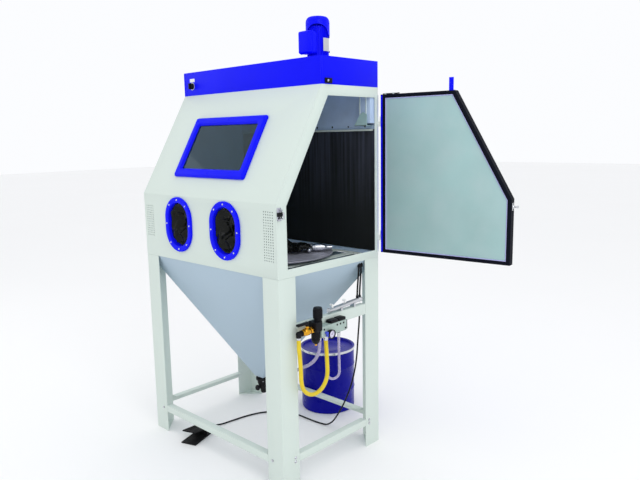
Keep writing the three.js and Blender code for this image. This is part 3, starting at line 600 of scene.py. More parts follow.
PEDAL_ROUTE = (
    (0.484, 0.205, 0.735), (0.484, 0.206, 0.712), (0.480, 0.211, 0.680), (0.473, 0.216, 0.640),
    (0.463, 0.222, 0.590), (0.452, 0.229, 0.530), (0.440, 0.236, 0.465), (0.423, 0.243, 0.395),
    (0.398, 0.250, 0.320), (0.364, 0.256, 0.240), (0.322, 0.261, 0.160), (0.276, 0.265, 0.088),
    (0.236, 0.268, 0.038), (0.196, 0.269, 0.011), (0.156, 0.268, 0.0048), (0.110, 0.263, 0.0046),
    (0.050, 0.262, 0.0046), (-0.020, 0.260, 0.0046), (-0.090, 0.240, 0.0046), (-0.150, 0.200, 0.0046),
    (-0.195, 0.140, 0.0046), (-0.222, 0.060, 0.0046), (-0.236, -0.030, 0.0046), (-0.244, -0.100, 0.006),
    (-0.251, -0.150, 0.014), (-0.2564, -0.1762, 0.018),
)


def hose(node, route, diameter, material):
    path = spline(route, TUBE_STEP)
    made = tube(node + "_shown", path, diameter / 2, material, slot=SLOT_OF[node], replaces=[node])


hose("air_hose", AIR_ROUTE, 0.0185, "yellow")
hose("media_hose", MEDIA_ROUTE, 0.015, "lavender")
hose("drain_hose", DRAIN_ROUTE, 0.012, "lavender")
hose("pedal_hose", PEDAL_ROUTE, 0.008, "black")


# ------------------------------------------------------------------ stand
LEG_NODES = [f"leg_{end}_{side}" for end in ("front", "rear") for side in ("left", "right")]
RAIL_NODES = ["rail_front", "rail_rear", "rail_left", "rail_right", "service_bar"]
for node in LEG_NODES + RAIL_NODES:
    refined(node, "body", 0.0022, 3)


def stand_bolts():
    """The bolts that hold each rail to the legs."""
    bm = bmesh.new()
    rail_top = local_box("rail_right")[1].z
    for x in (-1, 1):
        for y in (-1, 1):
            for z in (rail_top - 0.027, rail_top - 0.009):
                bolt(bm, (x * RIGHT, y * (REAR - 0.075), z), (x, 0, 0), 0.0055)
            bolt(bm, (x * (RIGHT - 0.07), y * REAR, rail_top - 0.017), (0, y, 0), 0.0055)
    piece("stand_bolts", bm, "chrome", slot="steel")


stand_bolts()


# ------------------------------------------------------------------ body panels
HOLE = 0.0064
VENT_PITCH = 0.0115
VENT_SPACING = 0.0135
VENT_GRIDS = ((0.420, 0.480, 1.030, 1.232), (-0.478, -0.430, 1.060, 1.214))


def vent_holes():
    """Round bars that pierce the upright front in two grids."""
    bm = bmesh.new()
    for left, right, low, high in VENT_GRIDS:
        for column in range(round((right - left) / VENT_SPACING) + 1):
            for row in range(round((high - low) / VENT_PITCH) + 1):
                x = left + column * VENT_SPACING
                z = low + row * VENT_PITCH
                rod(bm, (x, -REAR - 0.004, z), (x, -REAR + 0.006, z), HOLE / 2, 10)
    return linked("vent_holes", bm)


def paint_inside(obj, is_inside):
    """Gives the faces of a panel that look into the chamber the darker inner paint."""
    obj.data.materials.append(MAT["inner"])
    for face in obj.data.polygons:
        if is_inside(face.center - HOME, face.normal):
            face.material_index = 1


def pierced_front():
    panel = refined("front_panel", "body", 0.004, 3, 20.0)
    holes = vent_holes()
    modified(panel, ("BOOLEAN", {"object": holes, "solver": "MANIFOLD", "operation": "DIFFERENCE"}))
    paint_inside(panel, lambda place, normal: normal.y > 0.4)
    soften(panel, 30.0)
    bpy.data.objects.remove(holes)


pierced_front()
paint_inside(refined("door_frame", "body", 0.0012, 2), lambda place, normal: normal.x < -0.7)
paint_inside(refined("left_panel", "body", 0.002, 2), lambda place, normal: normal.x > 0.7)
paint_inside(
    refined("rear_panel", "body", 0.002, 2),
    lambda place, normal: place.y < REAR - 0.0025 and normal.x > -0.7,
)
refined("roof_panel", "inner", 0.001, 2)
refined("header_housing", "blue", 0.003, 3)


HOPPER_TOP = local_box("hopper_right")[1]
HOPPER_LOW = local_box("hopper_rear")[0].z
OUTLET = 0.030
HOPPER_WALLS = ["hopper_front", "hopper_rear", "hopper_left", "hopper_right"]


def hopper():
    """The four hopper walls as one folded skin with rounded corners."""
    half = (HOPPER_TOP.x, local_box("hopper_rear")[1].y)
    top = HOPPER_TOP.z
    sheet = 0.003
    bm = bmesh.new()
    loops = []
    for inset, z0, z1 in ((0, HOPPER_LOW, top), (sheet, HOPPER_LOW, top)):
        for z, wide, deep in ((z1, half[0] - inset, half[1] - inset), (z0, OUTLET - inset, OUTLET - inset)):
            corners = ((-wide, -deep), (wide, -deep), (wide, deep), (-wide, deep))
            loops.append([bm.verts.new(at(x, y, z)) for x, y in corners])
    outer_top, outer_low, inner_top, inner_low = loops
    bridge(bm, [outer_top, outer_low, inner_low, inner_top], ring=True)
    rounded(piece("hopper_shown", bm, "hopper", slot="hopper_paint", replaces=HOPPER_WALLS), 0.006, 4,
            sharp=25, angle=30.0)


hopper()


def header_folds():
    """The header's folded front corners and the cover's lap joint on its roof."""
    bm = bmesh.new()
    for x in (-1, 1):
        corner = x * (RIGHT - 0.003)
        rod(bm, (corner, HEADER_FRONT + 0.0025, BODY_TOP + 0.004),
            (corner, HEADER_FRONT + 0.0025, HEADER_TOP - 0.004), 0.0042, 20)
    slab(bm, (-RIGHT + 0.012, HEADER_FRONT + 0.012, HEADER_TOP - 0.001),
         (RIGHT - 0.012, REAR - 0.012, HEADER_TOP + 0.0014))
    rounded(piece("header_folds", bm, "blue", slot="blue_paint"), 0.0008)


header_folds()


def header_screws():
    bm = bmesh.new()
    for x in (-0.44, -0.22, 0.0, 0.2, 0.44):
        for y in (HEADER_FRONT + 0.03, REAR - 0.03):
            ball(bm, (x, y, HEADER_TOP + 0.0014), 0.0055, (1, 1, 0.45), 8)
    piece("header_screws", bm, "blue", slot="blue_paint")


header_screws()


def body_seams():
    """Folded lips along the seams between the front, the sides and the roof."""
    bm = bmesh.new()
    profile = [(-REAR, BODY_BOTTOM + 0.003), (-REAR, FRONT_BREAK), (HEADER_FRONT, BODY_TOP - 0.003)]
    for x in (-RIGHT + 0.003, RIGHT - 0.003):
        for (y0, z0), (y1, z1) in zip(profile, profile[1:]):
            rod(bm, (x, y0 + 0.0022, z0), (x, y1 + 0.0022, z1), 0.0034, 16)
    piece("body_seams", bm, "body", slot="body_paint")


body_seams()


# ------------------------------------------------------------------ chamber
refined("floor_grate", "body", 0.0008, 1)
refined("work_lamp", "lamp_lens", 0.008, 4)
refined("filter_cassette", "filter", 0.004, 2)
refined("fan_impeller", "aluminium", 0.0006, 1)
TABLE_LOW, TABLE_HIGH = local_box("turntable")
TABLE = (TABLE_LOW + TABLE_HIGH) / 2


def turntable():
    top = TABLE_HIGH.z
    radius = TABLE_HIGH.x - TABLE.x
    low = TABLE_LOW.z
    under = top - 0.008
    profile = [(0, low), (radius - 0.004, under), (radius - 0.001, under + 0.001), (radius, under + 0.003)]
    profile += [(radius, top - 0.0015), (radius - 0.0015, top), (radius - 0.010, top)]
    for groove in range(8):
        r = radius - 0.03 - groove * 0.032
        profile += [(r, top), (r - 0.001, top - 0.0009), (r - 0.003, top - 0.0009), (r - 0.004, top)]
    profile += [(0, top), (0, low)]
    profile = [(0, low), (0.094, low), (0.094, top - 0.012), (0.040, top - 0.0085)] + profile[1:-1]
    turned("turntable_shown", profile, (TABLE.x, TABLE.y, 0), "table", sides=128, body="turntable",
           slot="steel", replaces=["turntable"], smooth=30)


turntable()


def curtain():
    """A hanging rubber sheet with slow vertical waves, held by a strip with bolts along its top."""
    low, high = local_box("rear_curtain")
    columns, rows = 96, 24
    bm = bmesh.new()
    front = []
    for i in range(columns + 1):
        x = low.x + (high.x - low.x) * i / columns
        line = []
        for j in range(rows + 1):
            z = low.z + (high.z - low.z) * j / rows
            freedom = 1 - j / rows
            wave = math.sin(21 * x + 1.3) + 0.6 * math.sin(47 * x + 3.1 * z)
            y = high.y - 0.0035 - 0.0032 * (0.55 + 0.45 * wave / 1.6) * (0.25 + 0.75 * freedom)
            line.append(bm.verts.new(at(x, y, z)))
        front.append(line)
    faces = []
    for a, b in zip(front, front[1:]):
        for j in range(rows):
            faces.append(bm.faces.new((a[j], b[j], b[j + 1], a[j + 1])))
    made = bmesh.ops.extrude_face_region(bm, geom=faces)
    back = [g for g in made["geom"] if isinstance(g, bmesh.types.BMVert)]
    for vertex in back:
        vertex.co.y = HOME.y + high.y - 0.0004
    hung = piece("rear_curtain_shown", bm, "curtain", slot="rubber", replaces=["rear_curtain"])
    lip = bmesh.new()
    slab(lip, (low.x + 0.004, low.y - 0.0022, high.z - 0.0075),
         (high.x - 0.004, low.y + 0.001, high.z + 0.001))
    piece("curtain_lip", lip, "body", slot="aluminium")
    studs = bmesh.new()
    for i in range(9):
        x = low.x + 0.06 + i * (high.x - low.x - 0.12) / 8
        ball(studs, (x, REAR - 0.0032, high.z + 0.014), 0.0048, (1, 0.5, 1), 8)
    piece("curtain_studs", studs, "black", slot="steel")


curtain()


def chamber_ribs():
    """Bright folded edges on the suction duct, and a bracket under its mouth."""
    bm = bmesh.new()
    back = REAR - 0.0034
    for x in (0.430, 0.4675):
        slab(bm, (x, back - 0.0485, 1.601), (x + 0.0035, back - 0.0440, 1.757))
    rounded(piece("duct_edges", bm, "body", slot="body_paint"), 0.001)
    bracket = bmesh.new()
    depth = back - 0.030
    corners = [(0.400, 1.588), (0.478, 1.588), (0.478, 1.640), (0.455, 1.652), (0.436, 1.640)]
    near = [bracket.verts.new(at(x, depth - 0.022, z)) for x, z in corners]
    far = [bracket.verts.new(at(x, depth - 0.0195, z)) for x, z in corners]
    bracket.faces.new(near)
    bracket.faces.new(list(reversed(far)))
    bridge(bracket, [near, far])
    slab(bracket, (0.404, depth - 0.022, 1.5878), (0.474, back, 1.5905))
    piece("duct_bracket", bracket, "lining", slot="lining")


chamber_ribs()


# ------------------------------------------------------------------ window
refined("window_frame", "blue", 0.0025, 3)
NODES["window_glass"].data.materials.clear()
NODES["window_glass"].data.materials.append(MAT["glass"])


def on_slope(x, up, out):
    """A place on the sloped front: across, up the slope from the break, and out from the panel."""
    y = -REAR + up * math.cos(SLOPE_ANGLE) - out * math.sin(SLOPE_ANGLE)
    z = FRONT_BREAK + up * math.sin(SLOPE_ANGLE) + out * math.cos(SLOPE_ANGLE)
    return (x, y, z)


WINDOW_X = (local_box("window_frame")[0].x + local_box("window_frame")[1].x) / 2
WINDOW_UP = 0.262
WINDOW_HALF = (0.264, 0.161)
SLOPE_OUT = (0, -math.sin(SLOPE_ANGLE), math.cos(SLOPE_ANGLE))


def window_screws():
    bm = bmesh.new()
    wide, tall = WINDOW_HALF[0] - 0.020, WINDOW_HALF[1] - 0.020
    spots = [(x * wide, y * tall) for x in (-1, 1) for y in (-1, 1)]
    spots += [(0, -tall), (0, tall)]
    for x, up in spots:
        place = on_slope(WINDOW_X + x, WINDOW_UP + up, 0.0162)
        top = Vector(place) + Vector(SLOPE_OUT) * 0.0016
        rod(bm, place, top, 0.0040, 20, 0.0032)
    piece("window_screws", bm, "blue", slot="blue_paint")


window_screws()


def window_gasket():
    """A thin rubber lip round the glass, where it meets the frame."""
    wide, tall, corner = 0.2285, 0.1255, 0.020
    path = []
    for cx, cy, start in ((1, 1, 0), (-1, 1, 90), (-1, -1, 180), (1, -1, 270)):
        for step in range(7):
            a = math.radians(start + 15 * step)
            x = cx * (wide - corner) + corner * math.cos(a)
            y = cy * (tall - corner) + corner * math.sin(a)
            path.append(on_slope(WINDOW_X + x, WINDOW_UP + y, 0.0072))
    path.append(path[0])
    tube("window_gasket", path, 0.0026, "gasket", 10, slot="rubber")


window_gasket()


# ------------------------------------------------------------------ glove ports and gloves
PORTS = {side: sum(local_box("glove_ring_" + side), Vector()) / 2 for side in ("left", "right")}
PORT_HALF = 0.106
PORT_STRAIGHT = 0.027


def obround(radius, straight, steps=28):
    """Places round an upright slot with round ends, as (x, z) pairs about its centre."""
    spots = []
    for i in range(2 * steps):
        angle = math.pi * i / steps
        lift = straight if i < steps else -straight
        spots.append((radius * math.cos(angle), radius * math.sin(angle) + lift))
    return spots


def swept_ring(bm, centre, sections):
    """Joins obround loops, given as (radius, y), into one skin."""
    loops = []
    for radius, y in sections:
        spots = obround(radius, PORT_STRAIGHT)
        loops.append([bm.verts.new(at(centre.x + x, y, centre.z + z)) for x, z in spots])
    bridge(bm, loops, ring=True)


def glove_ring(side):
    centre = PORTS[side]
    front = -REAR
    inner = PORT_HALF - 0.027
    bm = bmesh.new()
    sections = [(PORT_HALF, front - 0.0005), (PORT_HALF, front - 0.008),
                (PORT_HALF - 0.0012, front - 0.0096)]
    sections += [(PORT_HALF - 0.003, front - 0.010), (inner + 0.004, front - 0.010),
                 (inner + 0.0012, front - 0.009)]
    sections += [(inner, front - 0.006), (inner, front + 0.025), (inner + 0.003, front + 0.025)]
    sections += [(inner + 0.003, front - 0.0005)]
    swept_ring(bm, centre, sections)
    piece(f"glove_ring_{side}_shown", bm, "blue", slot="blue_paint", replaces=["glove_ring_" + side])
    bolts = bmesh.new()
    for i in range(8):
        angle = math.pi * i / 4
        sine = math.sin(angle)
        lift = PORT_STRAIGHT * round(sine + 0.2 * math.copysign(1, sine)) if i % 4 else 0
        x = (PORT_HALF - 0.0135) * math.cos(angle)
        z = (PORT_HALF - 0.0135) * math.sin(angle) + lift
        ball(bolts, (centre.x + x, front - 0.0098, centre.z + z), 0.0044, (1, 0.75, 1), 10)
    piece(f"glove_ring_bolts_{side}", bolts, "chrome", slot="blue_paint")


for side in PORTS:
    glove_ring(side)

GLOVE_REACH = {
    "left": ((0.030, -0.130, -0.070), (0.070, 0.000, -0.116)),
    "right": ((0.020, -0.130, -0.070), (0.066, 0.020, -0.116)),
}


def glove(side):
    """A wide rubber sleeve, gathered in soft rings, that ends in a gloved hand lying palm down."""
    centre = PORTS[side]
    elbow, hand = GLOVE_REACH[side]
    front = -REAR
    inner = PORT_HALF - 0.027
    bm = bmesh.new()
    route = [
        (0, front + 0.003, 0),
        (0, front + 0.030, 0),
        (0, front + 0.070, -0.002),
        (elbow[0] * 0.4, front + 0.12, elbow[2] * 0.35),
        (elbow[0], elbow[1], elbow[2]),
        ((elbow[0] + hand[0]) / 2, (elbow[1] + hand[1]) / 2, (elbow[2] + hand[2]) / 2),
        (hand[0] - 0.004, hand[1] - 0.02, hand[2] + 0.002),
    ]
    path = spline([(centre.x + x, y, centre.z + z) for x, y, z in route], 0.004)
    count = len(path)
    rings = []
    for i, spot in enumerate(path):
        t = i / (count - 1)
        ahead = Vector(path[min(i + 1, count - 1)]) - Vector(path[max(i - 1, 0)])
        ahead.normalize()
        across = Vector((1, 0, 0))
        upward = across.cross(ahead).normalized()
        wide = (inner - 0.0012) * (1 - t) ** 1.2 + 0.036 * (1 - (1 - t) ** 1.2)
        slack = min(1, max(0, (t - 0.04) * 9))
        pleat = 1 + slack * (0.05 * math.sin(t * 62) * math.sin(math.pi * min(1, t * 1.4)) - 0.03)
        ring = []
        for x, z in obround(wide * pleat, PORT_STRAIGHT * (1 - t) ** 2, 14):
            angle = math.atan2(z, x)
            fold = math.sin(3 * angle + 9 * t) + 0.6 * math.sin(7 * angle - 14 * t + 2)
            sag = 1 + slack * (0.13 * fold - 0.12)
            ring.append(bm.verts.new(at(*spot) + (across * x - upward * -z) * sag))
        rings.append(ring)
    bridge(bm, rings)
    bulge = at(centre.x + 0.012, front + 0.032, centre.z - 0.004)
    rows = [rings[0]]
    for share in (0.86, 0.68, 0.48, 0.28):
        row = []
        for i, vertex in enumerate(rings[0]):
            turn = 2 * math.pi * i / len(rings[0])
            crease = 0.016 * math.sin(2 * turn + 6 * share) + 0.009 * math.sin(5 * turn - 9 * share)
            place = bulge.lerp(vertex.co, share)
            place.y += (0.030 * (1 - share) + crease) * min(1, (1 - share) * 5)
            row.append(bm.verts.new(place))
        rows.append(row)
    bridge(bm, [row[::-1] for row in rows])
    bm.faces.new(rows[-1])
    bm.faces.new(list(reversed(rings[-1])))
    palm = Vector((centre.x + hand[0], hand[1], centre.z + hand[2]))
    ball(bm, palm, 0.05, (0.86, 1.05, 0.42))
    turn = Matrix.Rotation(-0.4, 3, "Z")
    fingers = ((-0.034, 0.075, 0.013), (-0.012, 0.086, 0.014), (0.011, 0.082, 0.0135), (0.032, 0.066, 0.012))
    for x, reach, thick in fingers:
        root = palm + turn @ Vector((x * 0.85, 0.022, 0))
        middle = palm + turn @ Vector((x, reach * 0.75, 0.004))
        tip = palm + turn @ Vector((x * 1.08, reach + 0.012, -0.008))
        rod(bm, root, middle, thick * 1.08, 16, thick)
        rod(bm, middle, tip, thick, 16, thick * 0.85)
        ball(bm, middle, thick * 1.02, detail=8)
        ball(bm, tip, thick * 0.86, detail=8)
    thumb = palm + turn @ Vector((0.058, 0.012, -0.004))
    rod(bm, palm + turn @ Vector((0.026, -0.014, 0)), thumb, 0.017, 16, 0.014)
    ball(bm, thumb, 0.0142, detail=8)
    obj = piece(f"glove_{side}_shown", bm, "glove", slot="rubber", replaces=["glove_" + side], smooth=180)
    size = 0.0035
    modified(
        obj,
        ("REMESH", {"mode": "VOXEL", "voxel_size": size, "use_smooth_shade": True}),
        ("CORRECTIVE_SMOOTH", {"iterations": 6, "use_only_smooth": True}),
    )
    wrinkle = bpy.data.textures.new("glove_wrinkle", "CLOUDS")
    wrinkle.noise_scale = 0.035
    modified(obj, ("DISPLACE", {"texture": wrinkle, "strength": 0.009, "mid_level": 0.5,
                                "texture_coords": "LOCAL"}))
    soften(obj, 180)


for side in PORTS:
    glove(side)


def blast_gun():
    """A pistol-shaped blast gun: turned body, carbide nozzle with its nut, and trigger grip."""
    z = TABLE_HIGH.z + 0.022
    start, end, tip = Vector((0.262, 0.096, z)), Vector((0.318, 0.148, z)), Vector((0.342, 0.170, z))
    along = (end - start).normalized()
    bm = bmesh.new()
    profile = [(0, 0), (0.012, 0), (0.0165, 0.003), (0.018, 0.008), (0.018, 0.016), (0.0155, 0.018)]
    profile += [(0.0155, 0.024), (0.018, 0.026), (0.018, 0.060), (0.015, 0.068), (0.0145, 0.072)]
    profile += [(0.0145, 0.076), (0, 0.076)]
    lathe(bm, profile, start, along, 40)
    rod(bm, end - along * 0.004, end + along * 0.008, 0.0135, 6)
    nozzle = [(0, 0), (0.009, 0), (0.009, 0.022), (0.0075, 0.028), (0.004, 0.028), (0.004, 0.02), (0, 0.02)]
    lathe(bm, nozzle, tip - along * 0.026, along, 32)
    piece("blast_gun_shown", bm, "chrome", slot="steel", replaces=["blast_gun"])
    grip = bmesh.new()
    rod(grip, (0.272, 0.102, z), (0.284, 0.080, z - 0.003), 0.0118, 24)
    rod(grip, (0.284, 0.080, z - 0.003), (0.296, 0.060, z - 0.006), 0.0110, 24, 0.0095)
    ball(grip, (0.296, 0.060, z - 0.006), 0.0096, detail=10)
    rounded(piece("blast_gun_grip", grip, "aluminium", slot="steel"), 0.001)


blast_gun()


# ------------------------------------------------------------------ motor on the roof
ARCH_MIDDLE = math.radians(-50)
ARCH_HALF = math.radians(62)
ARCH_HEIGHT = 0.048


def motor():
    """A finned motor standing on its flange, with a terminal box and a domed cowl."""
    base = HEADER_TOP
    x, y = MOTOR.x, MOTOR.y
    bm = bmesh.new()
    flange = [(0, 0.0004), (0.056, 0.0004), (0.056, 0.009), (0.0545, 0.0105), (0.049, 0.0135),
              (0.048, 0.016)]
    lathe(bm, flange + [(0.048, 0.0262), (0, 0.0262)], (x, y, base), sides=72)
    lathe(bm, [(0, 0), (0.0435, 0), (0.0435, 0.130), (0.030, 0.146), (0, 0.146)], (x, y, base + 0.024),
          sides=72)
    for i in range(MOTOR_FINS):
        angle = 2 * math.pi * i / MOTOR_FINS
        out = Vector((math.cos(angle), math.sin(angle), 0))
        made = slab(bm, (x - 0.004, y - 0.0011, base + 0.026), (x + 0.004, y + 0.0011, base + 0.158))
        turn = Matrix.Translation(at(x, y, 0) + out * 0.0465) @ Matrix.Rotation(angle, 4, "Z")
        bmesh.ops.transform(bm, matrix=turn @ Matrix.Translation(-at(x, y, 0)), verts=made)
    piece("motor_body_shown", bm, "blue", slot="blue_paint", replaces=["motor_body"])

    box = bmesh.new()
    slab(box, (x - 0.040, y - 0.092, base + 0.033), (x + 0.036, y - 0.040, base + 0.133))
    rounded(piece("motor_terminal_box", box, "blue", slot="blue_paint"), 0.009, 5, sharp=50)
    lid = bmesh.new()
    slab(lid, (x - 0.0415, y - 0.0735, base + 0.0318), (x + 0.0375, y - 0.0705, base + 0.1342))
    rounded(piece("motor_box_lid", lid, "blue", slot="blue_paint"), 0.002, 3, sharp=50)

    cowl = bmesh.new()
    low, high = COWL_LOW, MOTOR_TOP
    outer = [(0.0555, low), (0.0555, high - 0.030)]
    dome = np.linspace(0.2, 1.45, 8)
    outer += [(0.0355 + 0.020 * math.cos(a), high - 0.030 + 0.028 * math.sin(a)) for a in dome]
    outer += [(0.030, high - 0.0005), (0.010, high), (0, high)]
    inner = [(0, high - 0.003), (0.034, high - 0.004), (0.050, high - 0.020), (0.0535, high - 0.032),
             (0.0535, low)]
    lathe(cowl, outer + inner, (x, y, 0), sides=96)
    for vertex in cowl.verts:
        if vertex.co.z < low + 0.001:
            turn = math.atan2(vertex.co.y - HOME.y - y, vertex.co.x - HOME.x - x) - ARCH_MIDDLE
            turn = (turn + math.pi) % (2 * math.pi) - math.pi
            if abs(turn) < ARCH_HALF:
                vertex.co.z += ARCH_HEIGHT * math.sqrt(1 - (turn / ARCH_HALF) ** 2)
    piece("motor_cowl_shown", cowl, "blue", slot="blue_paint")

    plate = bmesh.new()
    for i in range(9):
        angle = math.radians(-14 + i * 6)
        centre = Vector((x + 0.0509 * math.cos(angle), y + 0.0509 * math.sin(angle), 0))
        half = Vector((0.0006, 0.00285, 0))
        turned_slab(plate, centre - half + Vector((0, 0, base + 0.046)),
                    centre + half + Vector((0, 0, base + 0.104)), angle)
    piece("motor_plate", plate, "aluminium", slot="aluminium")

    bolts = bmesh.new()
    for angle in (-150, -90, -35, 35, 90, 150):
        a = math.radians(angle)
        foot = (x + 0.0505 * math.cos(a), y + 0.0505 * math.sin(a), base + 0.0128)
        bolt(bolts, foot, (0, 0, 1), 0.0042, 0.004)
    for height in (base + 0.046, base + 0.112):
        for angle in (44, 130, -90):
            a = math.radians(angle)
            out = (math.cos(a), math.sin(a), 0)
            rod(bolts, (x + 0.049 * out[0], y + 0.049 * out[1], height),
                (x + 0.0545 * out[0], y + 0.0545 * out[1], height), 0.0045, 6)
    piece("motor_bolts", bolts, "drum", slot="blue_paint")


motor()


# ------------------------------------------------------------------ main switch and door interlock
def main_switch():
    low, high = local_box("switch_knob")
    centre = (low + high) / 2
    face = HEADER_FRONT
    knob = bmesh.new()
    profile = [(0, 0.0004), (0.016, 0.0004), (0.016, 0.011), (0.0148, 0.0146), (0, 0.0152)]
    lathe(knob, profile, (centre.x, face, centre.z), (0, -1, 0), 48)
    slab(knob, (centre.x - 0.0042, low.y, centre.z - 0.0148),
         (centre.x + 0.0042, face - 0.012, centre.z + 0.0148))
    rounded(piece("switch_knob_shown", knob, "black", "switch_knob", "black_plastic", ["switch_knob"]),
            0.001, 3)
    turned("switch_ring", [(0.0166, 0.0), (0.0195, 0.0), (0.0195, 0.002), (0.0186, 0.003), (0.0166, 0.003)],
           (centre.x, face, centre.z), "chrome", (0, -1, 0), 48, slot="steel")
    label = bmesh.new()
    slab(label, (centre.x - 0.020, face - 0.0012, centre.z + 0.0215),
         (centre.x + 0.020, face + 0.0005, centre.z + 0.0385))
    rounded(piece("switch_label", label, "white", slot="white_plastic"), 0.0004, sharp=None)


main_switch()


def interlock():
    refined("interlock_switch", "black", 0.0012, 3)
    low, high = local_box("interlock_plunger")
    centre = (low + high) / 2
    profile = [(0, 0), (0.005, 0), (0.005, 0.0058), (0.0044, 0.0074), (0.003, 0.0083), (0, 0.0085)]
    turned("interlock_plunger_shown", profile, (low.x, centre.y, centre.z), "aluminium", (1, 0, 0), 36,
           body="interlock_plunger", slot="white_plastic", replaces=["interlock_plunger"])
    profile = [(0.0058, 0.0055), (0.0098, 0.0055), (0.0098, 0.0071), (0.0088, 0.0078), (0.0058, 0.0078)]
    turned("interlock_collar", profile, (RIGHT, centre.y, centre.z), "black", (1, 0, 0), 36,
           slot="black_plastic")


interlock()


# ------------------------------------------------------------------ door
DOOR_TURN = Matrix.Rotation(DOOR_OPEN, 4, "Z")
HUNG = Matrix.Translation(HOME + HINGE) @ DOOR_TURN @ Matrix.Translation(-HINGE - HOME)


def on_door(x, y, z):
    """Where a place on the closed door is while the door stands open."""
    return HUNG @ at(x, y, z) - HOME


refined("door_shell", "blue", 0.0016, 3)
refined("door_lining", "lining", 0.0008, 2)
DOOR_FRONT, DOOR_REAR, DOOR_LOW, DOOR_HIGH = -0.307, 0.331, 0.983, 1.730
DOOR_BREAK = FRONT_BREAK - 0.004
DOOR_INNER = 0.506
HINGE_CLEAR = 0.010


def door_slab(bm, low, high):
    """A box given by its corners on the closed door, swung open with it."""
    bmesh.ops.transform(bm, matrix=HUNG, verts=slab(bm, low, high))


def door_outline(margin, hinge_margin):
    """The closed door's outline drawn in by a margin, as (y, z) corners with a wider margin at the hinge."""
    lean = math.tan(SLOPE_ANGLE)
    slope_in = margin / math.sin(SLOPE_ANGLE)
    bend = margin * math.tan((math.pi / 2 - SLOPE_ANGLE) / 2)
    top_front = DOOR_FRONT + (DOOR_HIGH - margin - DOOR_BREAK) / lean + slope_in
    return [
        (DOOR_FRONT + margin, DOOR_LOW + margin),
        (DOOR_REAR - hinge_margin, DOOR_LOW + margin),
        (DOOR_REAR - hinge_margin, DOOR_HIGH - margin),
        (top_front, DOOR_HIGH - margin),
        (DOOR_FRONT + margin, DOOR_BREAK - bend),
    ]


def door_band(name, section, material, slot, replaces=()):
    """A (margin, depth) section swept round the door's inner face, mitred at its corners."""
    bm = bmesh.new()
    loops = []
    for margin, depth in section:
        corners = door_outline(margin, margin + HINGE_CLEAR)
        loops.append([bm.verts.new(HUNG @ at(DOOR_INNER + depth, y, z)) for y, z in corners])
    bridge(bm, loops, ring=True)
    piece(name, bm, material, "door", slot, replaces, smooth=50)


# A half-round rubber bead on a flat foot, and the folded flange just inside it, coloured light lavender as a
# painted highlight.
SEAL_SECTION = [(0.002, 0.0003), (0.0022, -0.0028), (0.0042, -0.0047), (0.0090, -0.0053), (0.0138, -0.0047),
                (0.0158, -0.0028), (0.016, 0.0003)]
FOLD_SECTION = [(0.0162, 0.0), (0.0166, -0.0022), (0.0180, -0.0030), (0.0196, -0.0024), (0.0202, 0.0)]
door_band("door_seal_shown", SEAL_SECTION, "seal", "rubber", ["door_seal"])
door_band("door_fold", FOLD_SECTION, "fold", "blue_paint")


def door_edge_trim():
    """Black rubber edging on the door's bottom, front, sloped and top edges, meeting the seal."""
    bm = bmesh.new()
    loops = []
    section = ((0.0021, -0.0010), (-0.0003, -0.0004), (-0.0003, 0.0336), (0.0021, 0.0344), (0.0021, 0.0002))
    for margin, depth in section:
        corners = door_outline(margin, 0)
        order = [corners[i] for i in (1, 0, 4, 3, 2)]
        loops.append([bm.verts.new(HUNG @ at(DOOR_INNER + depth, y, z)) for y, z in order])
    bridge(bm, loops, closed=False, ring=True)
    bm.faces.new([loop[0] for loop in loops])
    bm.faces.new([loop[-1] for loop in reversed(loops)])
    piece("door_edge_trim", bm, "seal", "door", "rubber", smooth=50)


door_edge_trim()

HINGE_HEIGHTS = (1.607, 1.063)
HINGE_HALF = 0.023
HINGE_GAP = 0.0003
HINGE_BARREL = 0.0049


def hinge_leaves():
    """White lift-off hinges: a barrel and leaf on the door above a barrel and leaf on the frame."""
    door_leaf = bmesh.new()
    frame_leaf = bmesh.new()
    for height in HINGE_HEIGHTS:
        low, high = height + HINGE_GAP, height + HINGE_HALF
        axis = [(HINGE.x, HINGE.y, z) for z in (low, high)]
        rod(door_leaf, *axis, HINGE_BARREL, 28)
        door_slab(door_leaf, (HINGE.x, DOOR_REAR + 0.0002, low), (0.5385, DOOR_REAR + 0.0030, high))
        below = height - HINGE_HALF
        rod(frame_leaf, (HINGE.x, HINGE.y, below), (HINGE.x, HINGE.y, height - HINGE_GAP), HINGE_BARREL, 28)
        slab(frame_leaf, (RIGHT - 0.0005, REAR - 0.0008, below),
             (HINGE.x, REAR + 0.0033, height - HINGE_GAP))
    for name, bm, body in (("hinge_leaf_door", door_leaf, "door"), ("hinge_leaf_frame", frame_leaf, "root")):
        rounded(piece(name, bm, "white", body, "body_paint"), 0.0005)


hinge_leaves()


def hinge_screws():
    """The screws of the door's hinge leaves."""
    bm = bmesh.new()
    for height in HINGE_HEIGHTS:
        for z in (height + 0.006, height + 0.017):
            spot = Vector(on_door(0.531, DOOR_REAR + 0.0024, z))
            out = HUNG.to_3x3() @ Vector((0, 1, 0))
            rod(bm, spot, spot + out * 0.0008, 0.0024, 16)
    piece("hinge_screws", bm, "chrome", "door", "steel")


hinge_screws()


